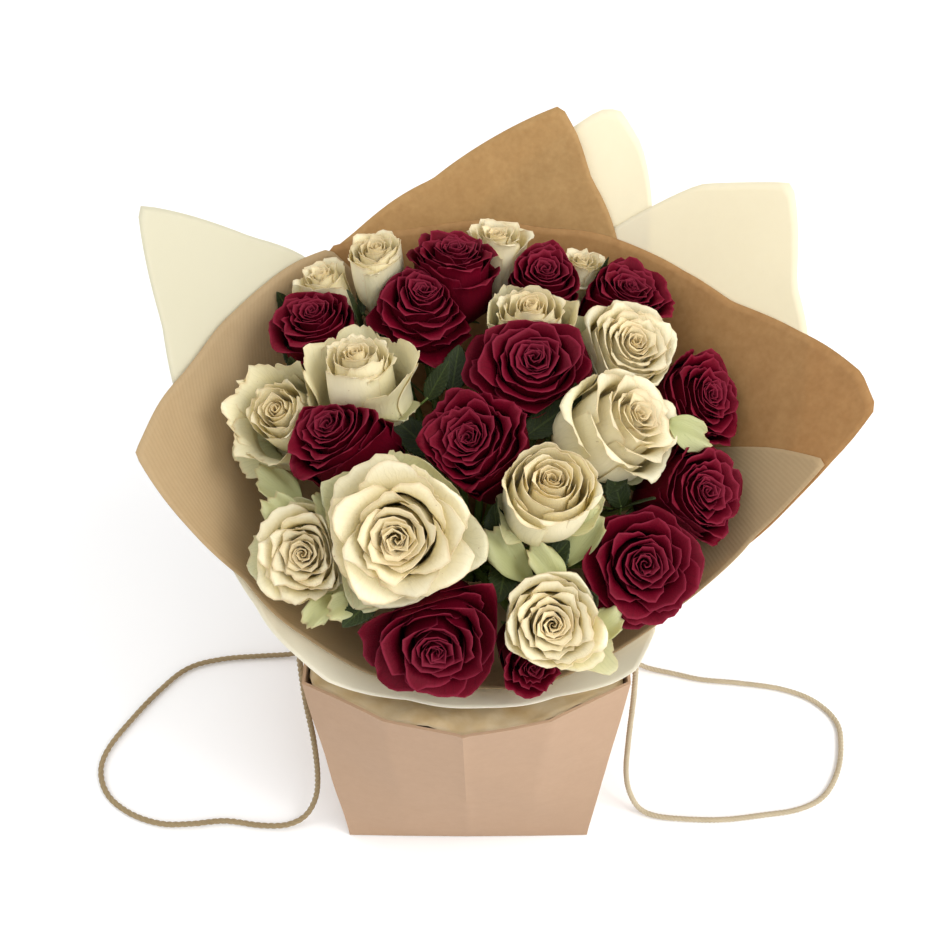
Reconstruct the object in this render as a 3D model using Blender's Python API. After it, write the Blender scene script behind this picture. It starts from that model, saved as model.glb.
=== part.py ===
"""A hand-tied bouquet of red and cream roses in paper, standing in a kraft gift bag.

The origin is the middle of the bag's underside, +Z is up and -Y is the front. All sizes below are in
millimetres and angles in degrees. The meshes are made in metres.
"""
import math
import random

import bmesh
import bpy
import numpy as np

MM = 0.001

# Gift bag
BAG_WIDTH = 160
BAG_DEPTH = 190
BAG_HEIGHT = 203
BAG_WALL = 0.8
BAG_HEM = 1.6
BAG_HEM_HEIGHT = 38
BAG_FLOOR = 1.2
BAG_TOP_SPREAD = 9
GUSSET_BULGE = 32
GUSSET_FOOT = 1
GUSSET_FULLNESS = 0.72
CREASE_ACROSS = -2
HANDLE_SPACING = 70
HANDLE_HEIGHT = 186
HANDLE_HOLE = 6

# Rope handles
ROPE = 4
ROPE_STEP = 2.9 * ROPE

# Bouquet frame: its origin is where the stems cross, and it leans to the front
NECK = np.array([4.0, 30.0, 150.0])
LEAN = 16
ACROSS = np.array([1.0, 0.0, 0.0])
BACK = np.array([0.0, math.cos(math.radians(LEAN)), math.sin(math.radians(LEAN))])
UP = np.array([0.0, -math.sin(math.radians(LEAN)), math.cos(math.radians(LEAN))])

# Paper funnel round the flowers
FUNNEL_NECK = 24
FUNNEL_SLOPE = 0.9
PAPER_TAIL = 8
PAPER = 0.85
PAPER_PITCH = 1.3
AZIMUTH_STEP = 6
AZIMUTH_START = 2

# Dome of flowers
DOME_TOP = 192
DOME_DROP = 30
DOME_RADIUS = 120
CELL_GAP = 1.6
BASE_ROOM = 17
FUNNEL_GAP = 2.5
SEAT_GAP = 0.3

# Stems
STEM = 2.7
STEM_PITCH = 5.7
BOUND_LENGTH = 10
FOOT_CENTRE = np.array([2.0, 18.0, 5.0])
FOOT_SPREAD = 2.3
FOOT_TURN = 70
HIP = 5.2
SEPAL = 15

# Film pouch and its water
FILM = 0.85
FRILL_HEIGHT = 196
FRILL_ROOM = 4
WATER_HEIGHT = 105
WATER_HOLE_TOP = 29
WATER_HOLE_FOOT = 40

# Each rose: colour, place across and back in the bouquet frame, rise above the dome, width, lean to the
# right and to the front, form of the bloom
ROSES = {
    "red_01": ("red", -88, 79, 6, 64, -8, 4, "cup"),
    "red_02": ("red", -27, 85, 6, 80, 0, 10, "open"),
    "red_03": ("red", -10, 111, 16, 66, 5, -8, "cup"),
    "red_04": ("red", 39, 101, 8, 66, 5, 12, "cup"),
    "red_05": ("red", 87, 97, 9, 74, 12, 10, "cup"),
    "red_06": ("red", 31, 39, 2, 88, 2, 22, "open"),
    "red_07": ("red", -4, -7, -4, 80, -20, 25, "cup"),
    "red_08": ("red", -75, 6, -2, 80, -21, 14, "cup"),
    "red_09": ("red", 128, 33, 2, 74, 28, 28, "cup"),
    "red_10": ("red", 121, -24, -1, 74, 33, 33, "cup"),
    "red_11": ("red", 85, -66, -2, 78, 6, 36, "open"),
    "red_12": ("red", -18, -110, -8, 92, 2, 61, "open"),
    "red_13": ("red", 30, -110, -33, 50, 8, 55, "small"),
    "cream_01": ("cream", -54, 114, 19, 48, -5, -5, "bud"),
    "cream_02": ("cream", -86, 107, 10, 50, -10, -5, "small"),
    "cream_03": ("cream", 13, 129, 13, 60, 0, -8, "small"),
    "cream_04": ("cream", 61, 119, 4, 46, 4, -8, "small"),
    "cream_05": ("cream", 30, 75, 4, 70, 0, 0, "cup"),
    "cream_06": ("cream", 86, 55, 6, 74, 18, 22, "cup"),
    "cream_07": ("cream", 85, 8, 8, 82, 34, 15, "cup"),
    "cream_08": ("cream", -61, 43, 6, 76, -3, -8, "cup"),
    "cream_09": ("cream", -104, 19, 0, 70, -15, 25, "cup"),
    "cream_10": ("cream", -37, -64, 13, 94, -4, 43, "open"),
    "cream_11": ("cream", -86, -59, -9, 66, -8, 38, "cup"),
    "cream_12": ("cream", 38, -32, 8, 62, 4, 14, "bud"),
    "cream_13": ("cream", 38, -98, 0, 70, 2, 38, "cup"),
}
COLUMN = ("colour", "across", "back", "rise", "width", "lean_right", "lean_front", "form")

# How far a bloom leans on its neighbours: the walls round it stand further off by this much
PUSH = {
    "cream_10": 6, "cream_07": 5, "red_02": 5, "red_03": 5, "red_06": 5, "red_07": 2, "red_08": 2, "red_05": 1,
    "red_01": 3, "cream_06": 2, "red_11": 2, "cream_08": 2, "cream_12": 2,
}

# Half-hidden roses, whose stems are pressed into a neighbour's and share its node
PRESSED = ("red_13", "cream_02", "cream_03", "cream_04", "cream_01")

# Petal rows of each form: radius and height of the lip, radius and height of the valley inside it,
# as shares of the bloom's radius and height, from the outermost row in
BLOOM_ROWS = {
    "open": ((1.0, 0.56, 0.62, 0.34), (0.76, 0.82, 0.42, 0.55), (0.5, 0.95, 0.22, 0.72)),
    "cup": ((1.0, 0.62, 0.64, 0.36), (0.76, 0.9, 0.44, 0.58), (0.5, 1.0, 0.22, 0.74)),
    "bud": ((1.0, 0.52, 0.62, 0.22), (0.72, 0.96, 0.42, 0.6), (0.46, 1.0, 0.2, 0.78)),
    "small": ((1.0, 0.66, 0.6, 0.4), (0.66, 0.97, 0.32, 0.66)),
}
BLOOM_PETALS = {"open": 5, "cup": 4, "bud": 4, "small": 4}
POINTS_A_PETAL = 3
LIP = 0.9
PETAL_ROOM = 1.2
BLOOM_BASE = 4.5

# Leaves that show between the blooms: the rose whose stem carries it, the neighbour that it is pressed
# against (or the azimuth of the paper), how far above the bloom's top its tip stands, and its length
LEAVES = (
    ("red_01", 140, 6, 52),
    ("cream_09", "red_01", 2, 40),
    ("red_02", "red_01", 4, 48),
    ("cream_04", "red_05", 4, 40),
    ("red_06", "cream_07", -2, 46),
    ("cream_07", "red_11", -4, 46),
    ("cream_12", "cream_10", -10, 40),
    ("cream_13", "red_11", -4, 36),
)
LEAF_THICK = 0.8
LEAF_TEETH = 4

# Paper edges: azimuth round the funnel (0 right, 90 back, -90 front) and height up it, one list a sheet
KRAFT_FRONT_EDGE = (
    (8, 120), (2, 148), (-4, 171), (-16, 140), (-34, 117), (-58, 103), (-94, 95), (-112, 103),
    (-136, 111), (-154, 122), (-166, 143), (-178, 166), (-196, 156), (-214, 150), (-238, 147), (-244, 120),
)
KRAFT_RIGHT_EDGE = (
    (128, 120), (122, 147), (104, 143), (74, 144), (44, 153), (32, 160), (20, 173), (8, 190),
    (2, 192), (-4, 171), (-16, 140), (-28, 110),
)
KRAFT_BACK_EDGE = (
    (134, 118), (128, 140), (116, 148), (98, 162), (86, 180), (80, 189), (74, 195), (68, 168), (56, 140),
    (50, 120),
)
CREAM_LEFT_EDGE = (
    (122, 125), (128, 148), (134, 164), (146, 206), (158, 170), (170, 145), (194, 124), (212, 117),
    (236, 118), (254, 105), (272, 104), (290, 105), (302, 115), (308, 118), (320, 108), (326, 90),
)
CREAM_BACK_EDGE = ((92, 140), (80, 168), (68, 196), (62, 184), (56, 165), (50, 140))
CREAM_RIGHT_EDGE = (
    (68, 120), (62, 147), (56, 165), (50, 185), (38, 209), (26, 184), (14, 170), (2, 158), (-4, 140),
)
LAYER = {
    "kraft_front": 0, "kraft_right": 1, "kraft_back": 2,
    "cream_right": 3, "cream_left": 4, "cream_back": 4,
}
FILM_LAYER = 5

# Routes of the two rope handles, from the rear hole to the front hole. Each point is the distance out
# from the bag's side, the place along Y and the height. The right loop lies a little further out
ROPE_LEFT_ROUTE = (
    (3, 35, 186), (9, 35, 186), (15, 35, 183), (19.5, 36, 174), (21, 38, 150), (22, 41, 90), (27, 42, 45),
    (36, 43, 18), (52, 44, 4), (78, 43, 2), (107, 40, 2), (130, 32, 2), (147, 14, 2), (162, -8, 2),
    (175, -32, 2), (177, -50, 2), (168, -68, 2), (150, -81, 2), (128, -88, 2), (107, -88, 2), (85, -86, 2),
    (62, -89, 2), (44, -89, 2), (31, -84, 5), (23, -77, 18), (20, -70, 38), (20, -61, 70), (22, -52, 110),
    (22, -43, 150), (20, -37, 173), (15, -35, 183), (9, -35, 186), (3, -35, 186),
)
ROPE_RIGHT_ROUTE = (
    (3, 35, 186), (9, 35, 186), (15, 35, 183), (19.5, 36, 174), (21, 37, 150), (22, 38, 90), (27, 38, 45),
    (35, 36, 18), (50, 33, 4), (72, 28, 2), (92, 23, 2), (120, 20, 2), (150, 15, 2), (172, 5, 2),
    (185, -12, 2), (184, -32, 2), (177, -52, 2), (164, -69, 2), (145, -78, 2), (120, -82, 2), (95, -85, 2),
    (73, -85, 2), (50, -83, 2), (37, -79, 5), (29, -73, 18), (25, -67, 38), (24, -60, 70), (24, -50, 112),
    (22, -43, 150), (20, -37, 173), (15, -35, 183), (9, -35, 186), (3, -35, 186),
)

COLOURS = {
    "red": ((0.19, 0.004, 0.022), 0.55),
    "cream": ((0.78, 0.70, 0.44), 0.5),
    "stem": ((0.10, 0.16, 0.05), 0.55),
    "kraft": ((0.48, 0.30, 0.16), 0.8),
    "bag": ((0.47, 0.30, 0.18), 0.8),
    "cream_paper": ((0.84, 0.76, 0.58), 0.75),
    "film": ((0.75, 0.72, 0.60), 0.12),
    "water": ((0.60, 0.72, 0.74), 0.05),
    "twine": ((0.42, 0.30, 0.16), 0.9),
    "rope": ((0.36, 0.30, 0.20), 0.85),
}


def clear_scene():
    for item in list(bpy.data.objects):
        bpy.data.objects.remove(item)


def material(name):
    found = bpy.data.materials.get(name)
    if found:
        return found
    colour, roughness = COLOURS[name]
    made = bpy.data.materials.new(name)
    made.use_nodes = True
    shader = made.node_tree.nodes["Principled BSDF"]
    shader.inputs["Base Color"].default_value = (*colour, 1.0)
    shader.inputs["Roughness"].default_value = roughness
    shader.inputs["Metallic"].default_value = 0.0
    return made


def mesh_object(name, points, faces, finish, smooth_angle=None):
    """A named object from points in millimetres, with its own material."""
    mesh = bpy.data.meshes.new(name)
    mesh.from_pydata([tuple(MM * float(value) for value in point) for point in points], [], faces)
    mesh.materials.append(material(finish))
    if smooth_angle is not None:
        mesh.shade_smooth()
        mesh.set_sharp_from_angle(angle=math.radians(smooth_angle))
    mesh.update()
    made = bpy.data.objects.new(name, mesh)
    bpy.context.scene.collection.objects.link(made)
    return made


def unit(vector):
    return vector / np.linalg.norm(vector)


def turned(point, degrees):
    """A 2-D point turned about the origin."""
    c = math.cos(math.radians(degrees))
    s = math.sin(math.radians(degrees))
    return np.array([c * point[0] - s * point[1], s * point[0] + c * point[1]])


def bouquet_point(across, back, up):
    return NECK + across * ACROSS + back * BACK + up * UP


def funnel_radius(height, layer=0):
    return FUNNEL_NECK + PAPER_PITCH * layer + FUNNEL_SLOPE * max(height, 0)


def funnel_point(azimuth, height, layer=0, extra=0.0):
    radius = funnel_radius(height, layer) + extra
    angle = math.radians(azimuth)
    return bouquet_point(radius * math.cos(angle), radius * math.sin(angle), height)


def skin(rings, start, end):
    """Points and triangles of a closed skin over rings of equal count.

    start and end are each a point to close on, or None for a flat cap. Bands that run back down are
    split the other way, so that the two faces of a thin lip are split alike.
    """
    count = len(rings[0])
    points = [point for ring in rings for point in ring]
    faces = []
    axis = unit(np.mean(rings[-1], axis=0) - np.mean(rings[0], axis=0) + 1e-9)
    for band in range(len(rings) - 1):
        rising = (np.mean(rings[band + 1], axis=0) - np.mean(rings[band], axis=0)) @ axis > 0
        for step in range(count):
            after = (step + 1) % count
            low, low_after = band * count + step, band * count + after
            high, high_after = low + count, low_after + count
            if rising:
                faces += [(low, low_after, high_after), (low, high_after, high)]
            else:
                faces += [(low, low_after, high), (low_after, high_after, high)]
    last = (len(rings) - 1) * count
    if start is None:
        faces.append(tuple(reversed(range(count))))
    else:
        points.append(start)
        faces += [(len(points) - 1, (step + 1) % count, step) for step in range(count)]
    if end is None:
        faces.append(tuple(range(last, last + count)))
    else:
        points.append(end)
        faces += [(len(points) - 1, last + step, last + (step + 1) % count) for step in range(count)]
    return points, faces


def united(name, parts, finish, smooth_angle=None):
    """One object from overlapping closed parts, joined by a single Boolean union."""
    if len(parts) == 1:
        return mesh_object(name, *parts[0], finish, smooth_angle)
    group = bpy.data.collections.new(name + "_parts")
    bpy.context.scene.collection.children.link(group)
    for number, (points, faces) in enumerate(parts[1:]):
        piece = mesh_object(f"{name}_{number}", points, faces, finish)
        bpy.context.scene.collection.objects.unlink(piece)
        group.objects.link(piece)
    whole = mesh_object(name, *parts[0], finish)
    union = whole.modifiers.new("union", "BOOLEAN")
    union.operation = "UNION"
    union.operand_type = "COLLECTION"
    union.collection = group
    union.solver = "MANIFOLD"
    bpy.context.view_layer.update()
    evaluated = whole.evaluated_get(bpy.context.evaluated_depsgraph_get())
    joined = bpy.data.meshes.new_from_object(evaluated)
    whole.modifiers.clear()
    whole.data = joined
    if smooth_angle is not None:
        joined.shade_smooth()
        joined.set_sharp_from_angle(angle=math.radians(smooth_angle))
    for piece in list(group.objects):
        bpy.data.objects.remove(piece)
    bpy.data.collections.remove(group)
    return whole


def closest_points(start_a, end_a, start_b, end_b, steps=24):
    """The nearest pair of points of two short segments, by sampling one and projecting on the other."""
    best = None
    for share in np.linspace(0, 1, steps + 1):
        on_a = start_a + share * (end_a - start_a)
        along = end_b - start_b
        place = np.clip((on_a - start_b) @ along / (along @ along), 0, 1)
        on_b = start_b + place * along
        gap = np.linalg.norm(on_b - on_a)
        if best is None or gap < best[0]:
            best = (gap, on_a, on_b)
    return best


class Rose:
    """Where one bloom stands: its top, axis, base and size."""

    def __init__(self, name):
        for key, value in zip(COLUMN, ROSES[name]):
            setattr(self, key, value)
        self.name = name
        self.radius = self.width / 2
        self.height = 34 + 0.2 * self.width
        spread = math.hypot(self.across, self.back)
        up = DOME_TOP + self.rise - DOME_DROP * (spread / DOME_RADIUS) ** 2
        self.top = bouquet_point(self.across, self.back, up)
        right = math.tan(math.radians(self.lean_right))
        front = math.tan(math.radians(self.lean_front))
        self.axis = unit(np.array([right, -front, 1.0]))
        self.base = self.top - self.height * self.axis
        self.keep_base_in_funnel()
        self.side = unit(ACROSS - (ACROSS @ self.axis) * self.axis)
        self.other = np.cross(self.axis, self.side)
        self.walls = []
        self.between = {}

    def spread(self):
        """Place of the base across and back in the bouquet frame."""
        away = self.base - NECK
        return np.array([away @ ACROSS, away @ BACK])

    def keep_base_in_funnel(self):
        """A bloom at the edge leans out as far as the funnel makes its stem lean."""
        place = self.spread()
        far = np.linalg.norm(place)
        up = (self.base - NECK) @ UP
        most = funnel_radius(up) - BASE_ROOM
        if far > most:
            place *= most / far
            self.axis = unit(self.top - bouquet_point(*place, up))
            self.base = self.top - self.height * self.axis

    def direction(self, angle):
        return math.cos(angle) * self.side + math.sin(angle) * self.other

    def room(self, direction, height):
        """How far a petal may reach in a direction at a height before it meets a neighbour."""
        centre = self.base + height * self.axis
        reach = 1e6
        for normal, offset in self.walls:
            slope = normal @ direction
            if slope > 1e-6:
                reach = min(reach, (offset - normal @ centre) / slope)
        return reach

    def place(self, angle, radius, height):
        return self.base + height * self.axis + radius * self.direction(angle)


def build_walls(roses):
    """A flat wall between each two near blooms, and the funnel's flat panels round them all."""
    listed = list(roses.values())
    for number, one in enumerate(listed):
        for two in listed[number + 1:]:
            low_one, high_one = one.base + 0.1 * one.height * one.axis, one.top
            low_two, high_two = two.base + 0.1 * two.height * two.axis, two.top
            gap, near_one, near_two = closest_points(low_one, high_one, low_two, high_two)
            if gap > one.radius + two.radius + 4:
                continue
            normal = unit(near_two - near_one)
            share = one.radius / (one.radius + two.radius)
            push = PUSH.get(one.name, 0) - PUSH.get(two.name, 0)
            middle = near_one + share * (near_two - near_one) + push * normal
            one.between[two.name] = two.between[one.name] = (normal, middle)
            one.walls.append((normal, normal @ middle - CELL_GAP / 2))
            two.walls.append((-normal, -(normal @ middle) - CELL_GAP / 2))
    slant = math.atan(FUNNEL_SLOPE)
    for step in range(360 // AZIMUTH_STEP):
        azimuth = AZIMUTH_START + AZIMUTH_STEP * (step + 0.5)
        outward = math.cos(math.radians(azimuth)) * ACROSS + math.sin(math.radians(azimuth)) * BACK
        normal = math.cos(slant) * outward - math.sin(slant) * UP
        flat = FUNNEL_NECK * math.cos(math.radians(AZIMUTH_STEP / 2))
        for rose in listed:
            rose.walls.append((normal, normal @ (NECK + flat * outward) - FUNNEL_GAP))


def lip_shape(phase, petals_dice):
    """Share of the radius and of the height that a lip has at one of a petal's three points."""
    radius, height = ((0.88, 0.72), (1.04, 0.98), (0.97, 1.02))[phase]
    return radius + petals_dice.uniform(-0.03, 0.03), height + petals_dice.uniform(-0.03, 0.03)


def bloom_profile(rose, rows, angle, step, dice):
    """Radius and height of each point up one side of a bloom, pressed in where a neighbour stands."""
    big, tall = rose.radius, rose.height
    direction = rose.direction(angle)
    lips = []
    for number, (lip_radius, lip_height, valley_radius, valley_height) in enumerate(rows):
        wider, higher = lip_shape((step + number) % POINTS_A_PETAL, dice)
        floor = valley_height * tall
        lips.append((lip_radius * big * wider, floor + higher * (lip_height * tall - floor)))
    press = min([1] + [rose.room(direction, height) / radius for radius, height in lips])
    foot_radius, foot_height = min(0.72 * big, rose.room(direction, 0.2 * tall)), 0.2 * tall
    profile = [(BLOOM_BASE, 0), (foot_radius, foot_height)]
    for (radius, height), (lip_radius, lip_height, valley_radius, valley_height) in zip(lips, rows):
        lip = press * radius
        floor = valley_height * tall
        share = max(0, (floor - foot_height) / (height - foot_height))
        back = foot_radius + share * (lip - foot_radius)
        hollow = min(press * valley_radius * big, back - PETAL_ROOM)
        profile += [(lip, height), (lip - LIP, height + 0.3 * LIP), (hollow, floor)]
        foot_radius, foot_height = hollow, floor
    profile.append((0.8 * hollow, 0.97 * tall * rows[-1][1]))
    return profile


def bloom(rose):
    """Rows of petals round a bud, as one closed skin: up each row's back, over its lip and down inside."""
    dice = random.Random(rose.name)
    rows = BLOOM_ROWS[rose.form]
    count = BLOOM_PETALS[rose.form] * POINTS_A_PETAL
    turn = dice.uniform(0, 2 * math.pi)
    sides = []
    for step in range(count):
        angle = turn + 2 * math.pi * step / count
        profile = bloom_profile(rose, rows, angle, step, dice)
        sides.append([rose.place(angle, radius, height) for radius, height in profile])
    rings = [list(ring) for ring in zip(*sides)]
    tip = rose.base + 0.9 * rose.height * rows[-1][1] * rose.axis
    points, faces = skin(rings, None, tip)
    mesh_object(f"{rose.name}_bloom", points, faces, rose.colour, 40)


def honeycomb_slots(count):
    """Places of the bound stems, ring by ring round the middle one."""
    slots = []
    for across in range(-4, 5):
        for back in range(-4, 5):
            slots.append(np.array([across + 0.5 * back, back * math.sqrt(3) / 2]) * STEM_PITCH)
    slots.sort(key=lambda place: (round(math.hypot(*place), 3), round(math.atan2(place[1], place[0]), 3)))
    return slots[:count]


def give_slots(roses):
    """Bound stems keep the order of their blooms: slots are swapped while that spreads them better."""
    listed = list(roses.values())
    for rose, slot in zip(listed, honeycomb_slots(len(listed))):
        rose.slot = slot
    swapped = True
    while swapped:
        swapped = False
        for number, one in enumerate(listed):
            for two in listed[number + 1:]:
                if (one.slot - two.slot) @ (one.spread() - two.spread()) < -1e-6:
                    one.slot, two.slot = two.slot, one.slot
                    swapped = True


def pentagon(centre, radius, side, other, turn=0.0):
    angles = [math.radians(turn) + 2 * math.pi * step / 5 for step in range(5)]
    return [centre + radius * (math.cos(angle) * side + math.sin(angle) * other) for angle in angles]


def stem_rings(rose):
    """Five-sided rings from the foot in the water, through the binding, up to the hip."""
    slot = rose.slot
    bound_low = bouquet_point(slot[0], slot[1], -BOUND_LENGTH)
    foot = FOOT_SPREAD * turned(slot, FOOT_TURN)
    foot = FOOT_CENTRE + np.array([foot[0], foot[1], 0.0])
    rings = []
    for share, turn in ((0.0, FOOT_TURN), (0.5, FOOT_TURN * 0.62)):
        centre = foot + share * (bound_low - foot)
        level = np.array([0.0, 1.0, 0.0])
        rings.append(pentagon(centre, STEM, ACROSS, level, turn))
    rings.append(pentagon(bound_low, STEM, ACROSS, BACK))
    start = bouquet_point(slot[0], slot[1], 2)
    rings.append(pentagon(start, STEM, ACROSS, BACK))
    end = rose.base - 11 * rose.axis
    straight = end - start
    arrive = 0.5 * straight + 0.5 * np.linalg.norm(straight) * rose.axis
    for share in (0.4, 0.75):
        centre = hermite(start, end, straight, arrive, share)
        rings.append(pentagon(centre, STEM, ACROSS, BACK))
    rings.append(pentagon(end, STEM, rose.side, rose.other))
    return rings


def hermite(start, end, leave, arrive, share):
    a = 2 * share ** 3 - 3 * share ** 2 + 1
    b = share ** 3 - 2 * share ** 2 + share
    c = 3 * share ** 2 - 2 * share ** 3
    d = share ** 3 - share ** 2
    return a * start + b * leave + c * end + d * arrive


def calyx(rose):
    """The hip with its five pointed sepals, under the bloom with a hairline between them."""
    base = rose.base - SEAT_GAP * rose.axis
    hip = pentagon(base - 6 * rose.axis, HIP, rose.side, rose.other)
    star_low, star_high = [], []
    for step in range(10):
        angle = math.pi * step / 5
        tip = step % 2 == 0
        out = SEPAL * rose.radius / 30 if tip else 4.2
        out = min(out, max(5.5 if tip else 3.8, 0.9 * rose.room(rose.direction(angle), -2)))
        drop = 3.2 if tip else 1.6
        place = base + out * rose.direction(angle)
        star_low.append(place - drop * rose.axis)
        star_high.append(place - (drop - 0.8 if tip else 0.0) * rose.axis)
    points = hip + star_low + star_high
    faces = [tuple(reversed(range(5)))]
    for step in range(5):
        after = (step + 1) % 5
        low = [5 + 2 * step, 5 + 2 * step + 1, 5 + (2 * step + 2) % 10]
        faces += [(step, low[1], low[0]), (step, after, low[1]), (after, low[2], low[1])]
    for step in range(10):
        after = (step + 1) % 10
        faces += [(5 + step, 5 + after, 15 + after), (5 + step, 15 + after, 15 + step)]
    valleys = [16 + 2 * step for step in range(5)]
    faces.append(tuple(valleys))
    for step in range(5):
        faces.append((15 + 2 * step, valleys[step], valleys[step - 1]))
    return points, faces


def stem_and_calyx(rose):
    """One closed skin: the tube of the stem runs on into the hip and the sepals."""
    rings = stem_rings(rose)
    tube_points, tube_faces = skin(rings, None, None)
    cap = tube_faces.pop()
    calyx_points, calyx_faces = calyx(rose)
    calyx_faces.pop(0)
    offset = len(tube_points)
    points = tube_points + calyx_points
    faces = tube_faces + [tuple(offset + corner for corner in face) for face in calyx_faces]
    for step in range(5):
        after = (step + 1) % 5
        faces += [(cap[step], cap[after], offset + after), (cap[step], offset + after, offset + step)]
    return points, faces


def leaf_outline(length, half_width, teeth):
    """Half outline of a leaf with a toothed edge: pairs of distance along it and half width."""
    pairs = []
    for step in range(1, 2 * teeth):
        share = step / (2 * teeth)
        wide = half_width * math.sin(math.pi * share ** 0.8) ** 0.8
        notch = 1.0 if step % 2 else 0.82
        pairs.append((share * length, wide * notch))
    return pairs


def leaf_parts(rose, roses, against, above, length):
    """A flat toothed blade in the gap beside the bloom, and the stalk that carries it from the stem."""
    if isinstance(against, str):
        other = roses[against]
        normal, middle = rose.between[against]
        along = unit(rose.axis + other.axis)
        peak = max(rose.top @ along, other.top @ along) + above
    else:
        azimuth = AZIMUTH_START + AZIMUTH_STEP * (round((against - AZIMUTH_START) / AZIMUTH_STEP - 0.5) + 0.5)
        angle = math.radians(azimuth)
        outward = math.cos(angle) * ACROSS + math.sin(angle) * BACK
        slant = math.atan(FUNNEL_SLOPE)
        normal = math.cos(slant) * outward - math.sin(slant) * UP
        along = math.sin(slant) * outward + math.cos(slant) * UP
        flat = FUNNEL_NECK * math.cos(math.radians(AZIMUTH_STEP / 2))
        wall = NECK + flat * outward - 0.5 * FUNNEL_GAP * normal
        middle = wall
        peak = rose.top @ along + above
    along = unit(along - (along @ normal) * normal)
    across = np.cross(normal, along)
    tip = middle + (peak - middle @ along) * along
    root = tip - length * along
    pairs = leaf_outline(length, 0.2 * length, LEAF_TEETH)
    rim = [root] + [root + far * along + wide * across for far, wide in pairs] + [tip]
    rim += [root + far * along - wide * across for far, wide in reversed(pairs)]
    half = 0.5 * LEAF_THICK * normal
    count = len(rim)
    points = [point + half for point in rim] + [point - half for point in rim]
    faces = [tuple(range(count)), tuple(reversed(range(count, 2 * count)))]
    for step in range(count):
        after = (step + 1) % count
        faces.append((after, step, count + step, count + after))
    if np.cross(rim[1] - rim[0], rim[2] - rim[0]) @ normal < 0:
        faces = [tuple(reversed(face)) for face in faces]
    return (points, faces), stalk_part(rose, root + 1.5 * along)


def stalk_part(rose, blade_root):
    """A thin square stalk from inside the stem to the foot of the blade."""
    start = rose.base - 20 * rose.axis
    rings = stem_rings(rose)
    near = np.mean(rings[-2], axis=0) + 0.55 * (np.mean(rings[-1], axis=0) - np.mean(rings[-2], axis=0))
    start = near
    heading = unit(blade_root - start)
    side = unit(np.cross(heading, UP))
    other = np.cross(heading, side)
    ends = []
    for centre in (start, blade_root):
        ends.append([centre + 0.55 * (x * side + y * other) for x, y in ((1, 1), (-1, 1), (-1, -1), (1, -1))])
    points = ends[0] + ends[1]
    faces = [(3, 2, 1, 0), (4, 5, 6, 7)]
    faces += [(step, (step + 1) % 4, 4 + (step + 1) % 4, 4 + step) for step in range(4)]
    return points, faces


def stems(roses):
    """A node for each leafy stem, and one for each pressed pair."""
    hosts = {}
    for name in PRESSED:
        rose = roses[name]
        taken = list(PRESSED) + list(hosts.values())
        free = [other for other in roses.values() if other.name not in taken]
        host = min(free, key=lambda other: np.linalg.norm(other.slot - rose.slot)
                   + 0.01 * np.linalg.norm(other.base - rose.base))
        hosts[name] = host.name
        away = rose.slot - host.slot
        rose.slot = host.slot + away * (1 - 1.1 / np.linalg.norm(away))
    for rose in roses.values():
        if rose.name in hosts:
            continue
        parts = [stem_and_calyx(rose)]
        name = f"{rose.name}_stem"
        for guest, host in hosts.items():
            if host == rose.name:
                parts.append(stem_and_calyx(roses[guest]))
                name = f"{rose.name}_and_{guest}_stems"
        for leaf in LEAVES:
            if leaf[0] in (rose.name, *[guest for guest, host in hosts.items() if host == rose.name]):
                parts += leaf_parts(roses[leaf[0]], roses, *leaf[1:])
        united(name, parts, "stem", 40)


def edge_height(edge, azimuth):
    """Height of a paper's edge at an azimuth, straight between its listed points."""
    ordered = sorted(edge)
    return float(np.interp(azimuth, [a for a, h in ordered], [h for a, h in ordered]))


def paper_sheet(name, edge, finish):
    """A thin sheet on its own layer of the funnel, from below the tie to its edge."""
    layer = LAYER[name]
    azimuths = [a for a, h in edge]
    first = AZIMUTH_START + AZIMUTH_STEP * math.ceil((min(azimuths) - AZIMUTH_START) / AZIMUTH_STEP)
    columns = list(range(first, max(azimuths) + 1, AZIMUTH_STEP))
    levels = []
    for azimuth in columns:
        levels.append((-PAPER_TAIL, 0.0, edge_height(edge, azimuth)))
    rows = len(levels[0])
    inner = [funnel_point(a, h, layer) for a, column in zip(columns, levels) for h in column]
    outer = [funnel_point(a, h, layer, PAPER) for a, column in zip(columns, levels) for h in column]
    points = inner + outer
    shift = len(inner)
    faces = []
    for column in range(len(columns) - 1):
        for row in range(rows - 1):
            a, b = column * rows + row, column * rows + row + 1
            c, d = a + rows, b + rows
            faces += [(a, b, d), (a, d, c)]
            faces += [(shift + a, shift + d, shift + b), (shift + a, shift + c, shift + d)]
    last = (len(columns) - 1) * rows
    for row in range(rows - 1):
        faces.append((row, shift + row, shift + row + 1, row + 1))
        faces.append((last + row, last + row + 1, shift + last + row + 1, shift + last + row))
    for column in range(len(columns) - 1):
        a, c = column * rows, (column + 1) * rows
        faces.append((a, c, shift + c, shift + a))
        b, d = a + rows - 1, c + rows - 1
        faces.append((b, shift + b, shift + d, d))
    mesh_object(name, points, faces, finish, 30)


def level_ring(centre, radius, count, height):
    """A level ring of points at a height."""
    ring = []
    for step in range(count):
        angle = math.radians(AZIMUTH_START + 360 * step / count)
        across, back = radius * math.cos(angle), radius * math.sin(angle)
        ring.append(np.array([centre[0] + across, centre[1] + back, height]))
    return ring


def neck_ring(radius, count, up):
    """A ring round the bouquet's own axis."""
    ring = []
    for step in range(count):
        angle = math.radians(AZIMUTH_START + 360 * step / count)
        ring.append(bouquet_point(radius * math.cos(angle), radius * math.sin(angle), up))
    return ring


POUCH_COLUMNS = 24
POUCH_PROFILE = ((60, 2), (68, 14), (72, 45), (68, 80), (50, 112))


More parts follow.
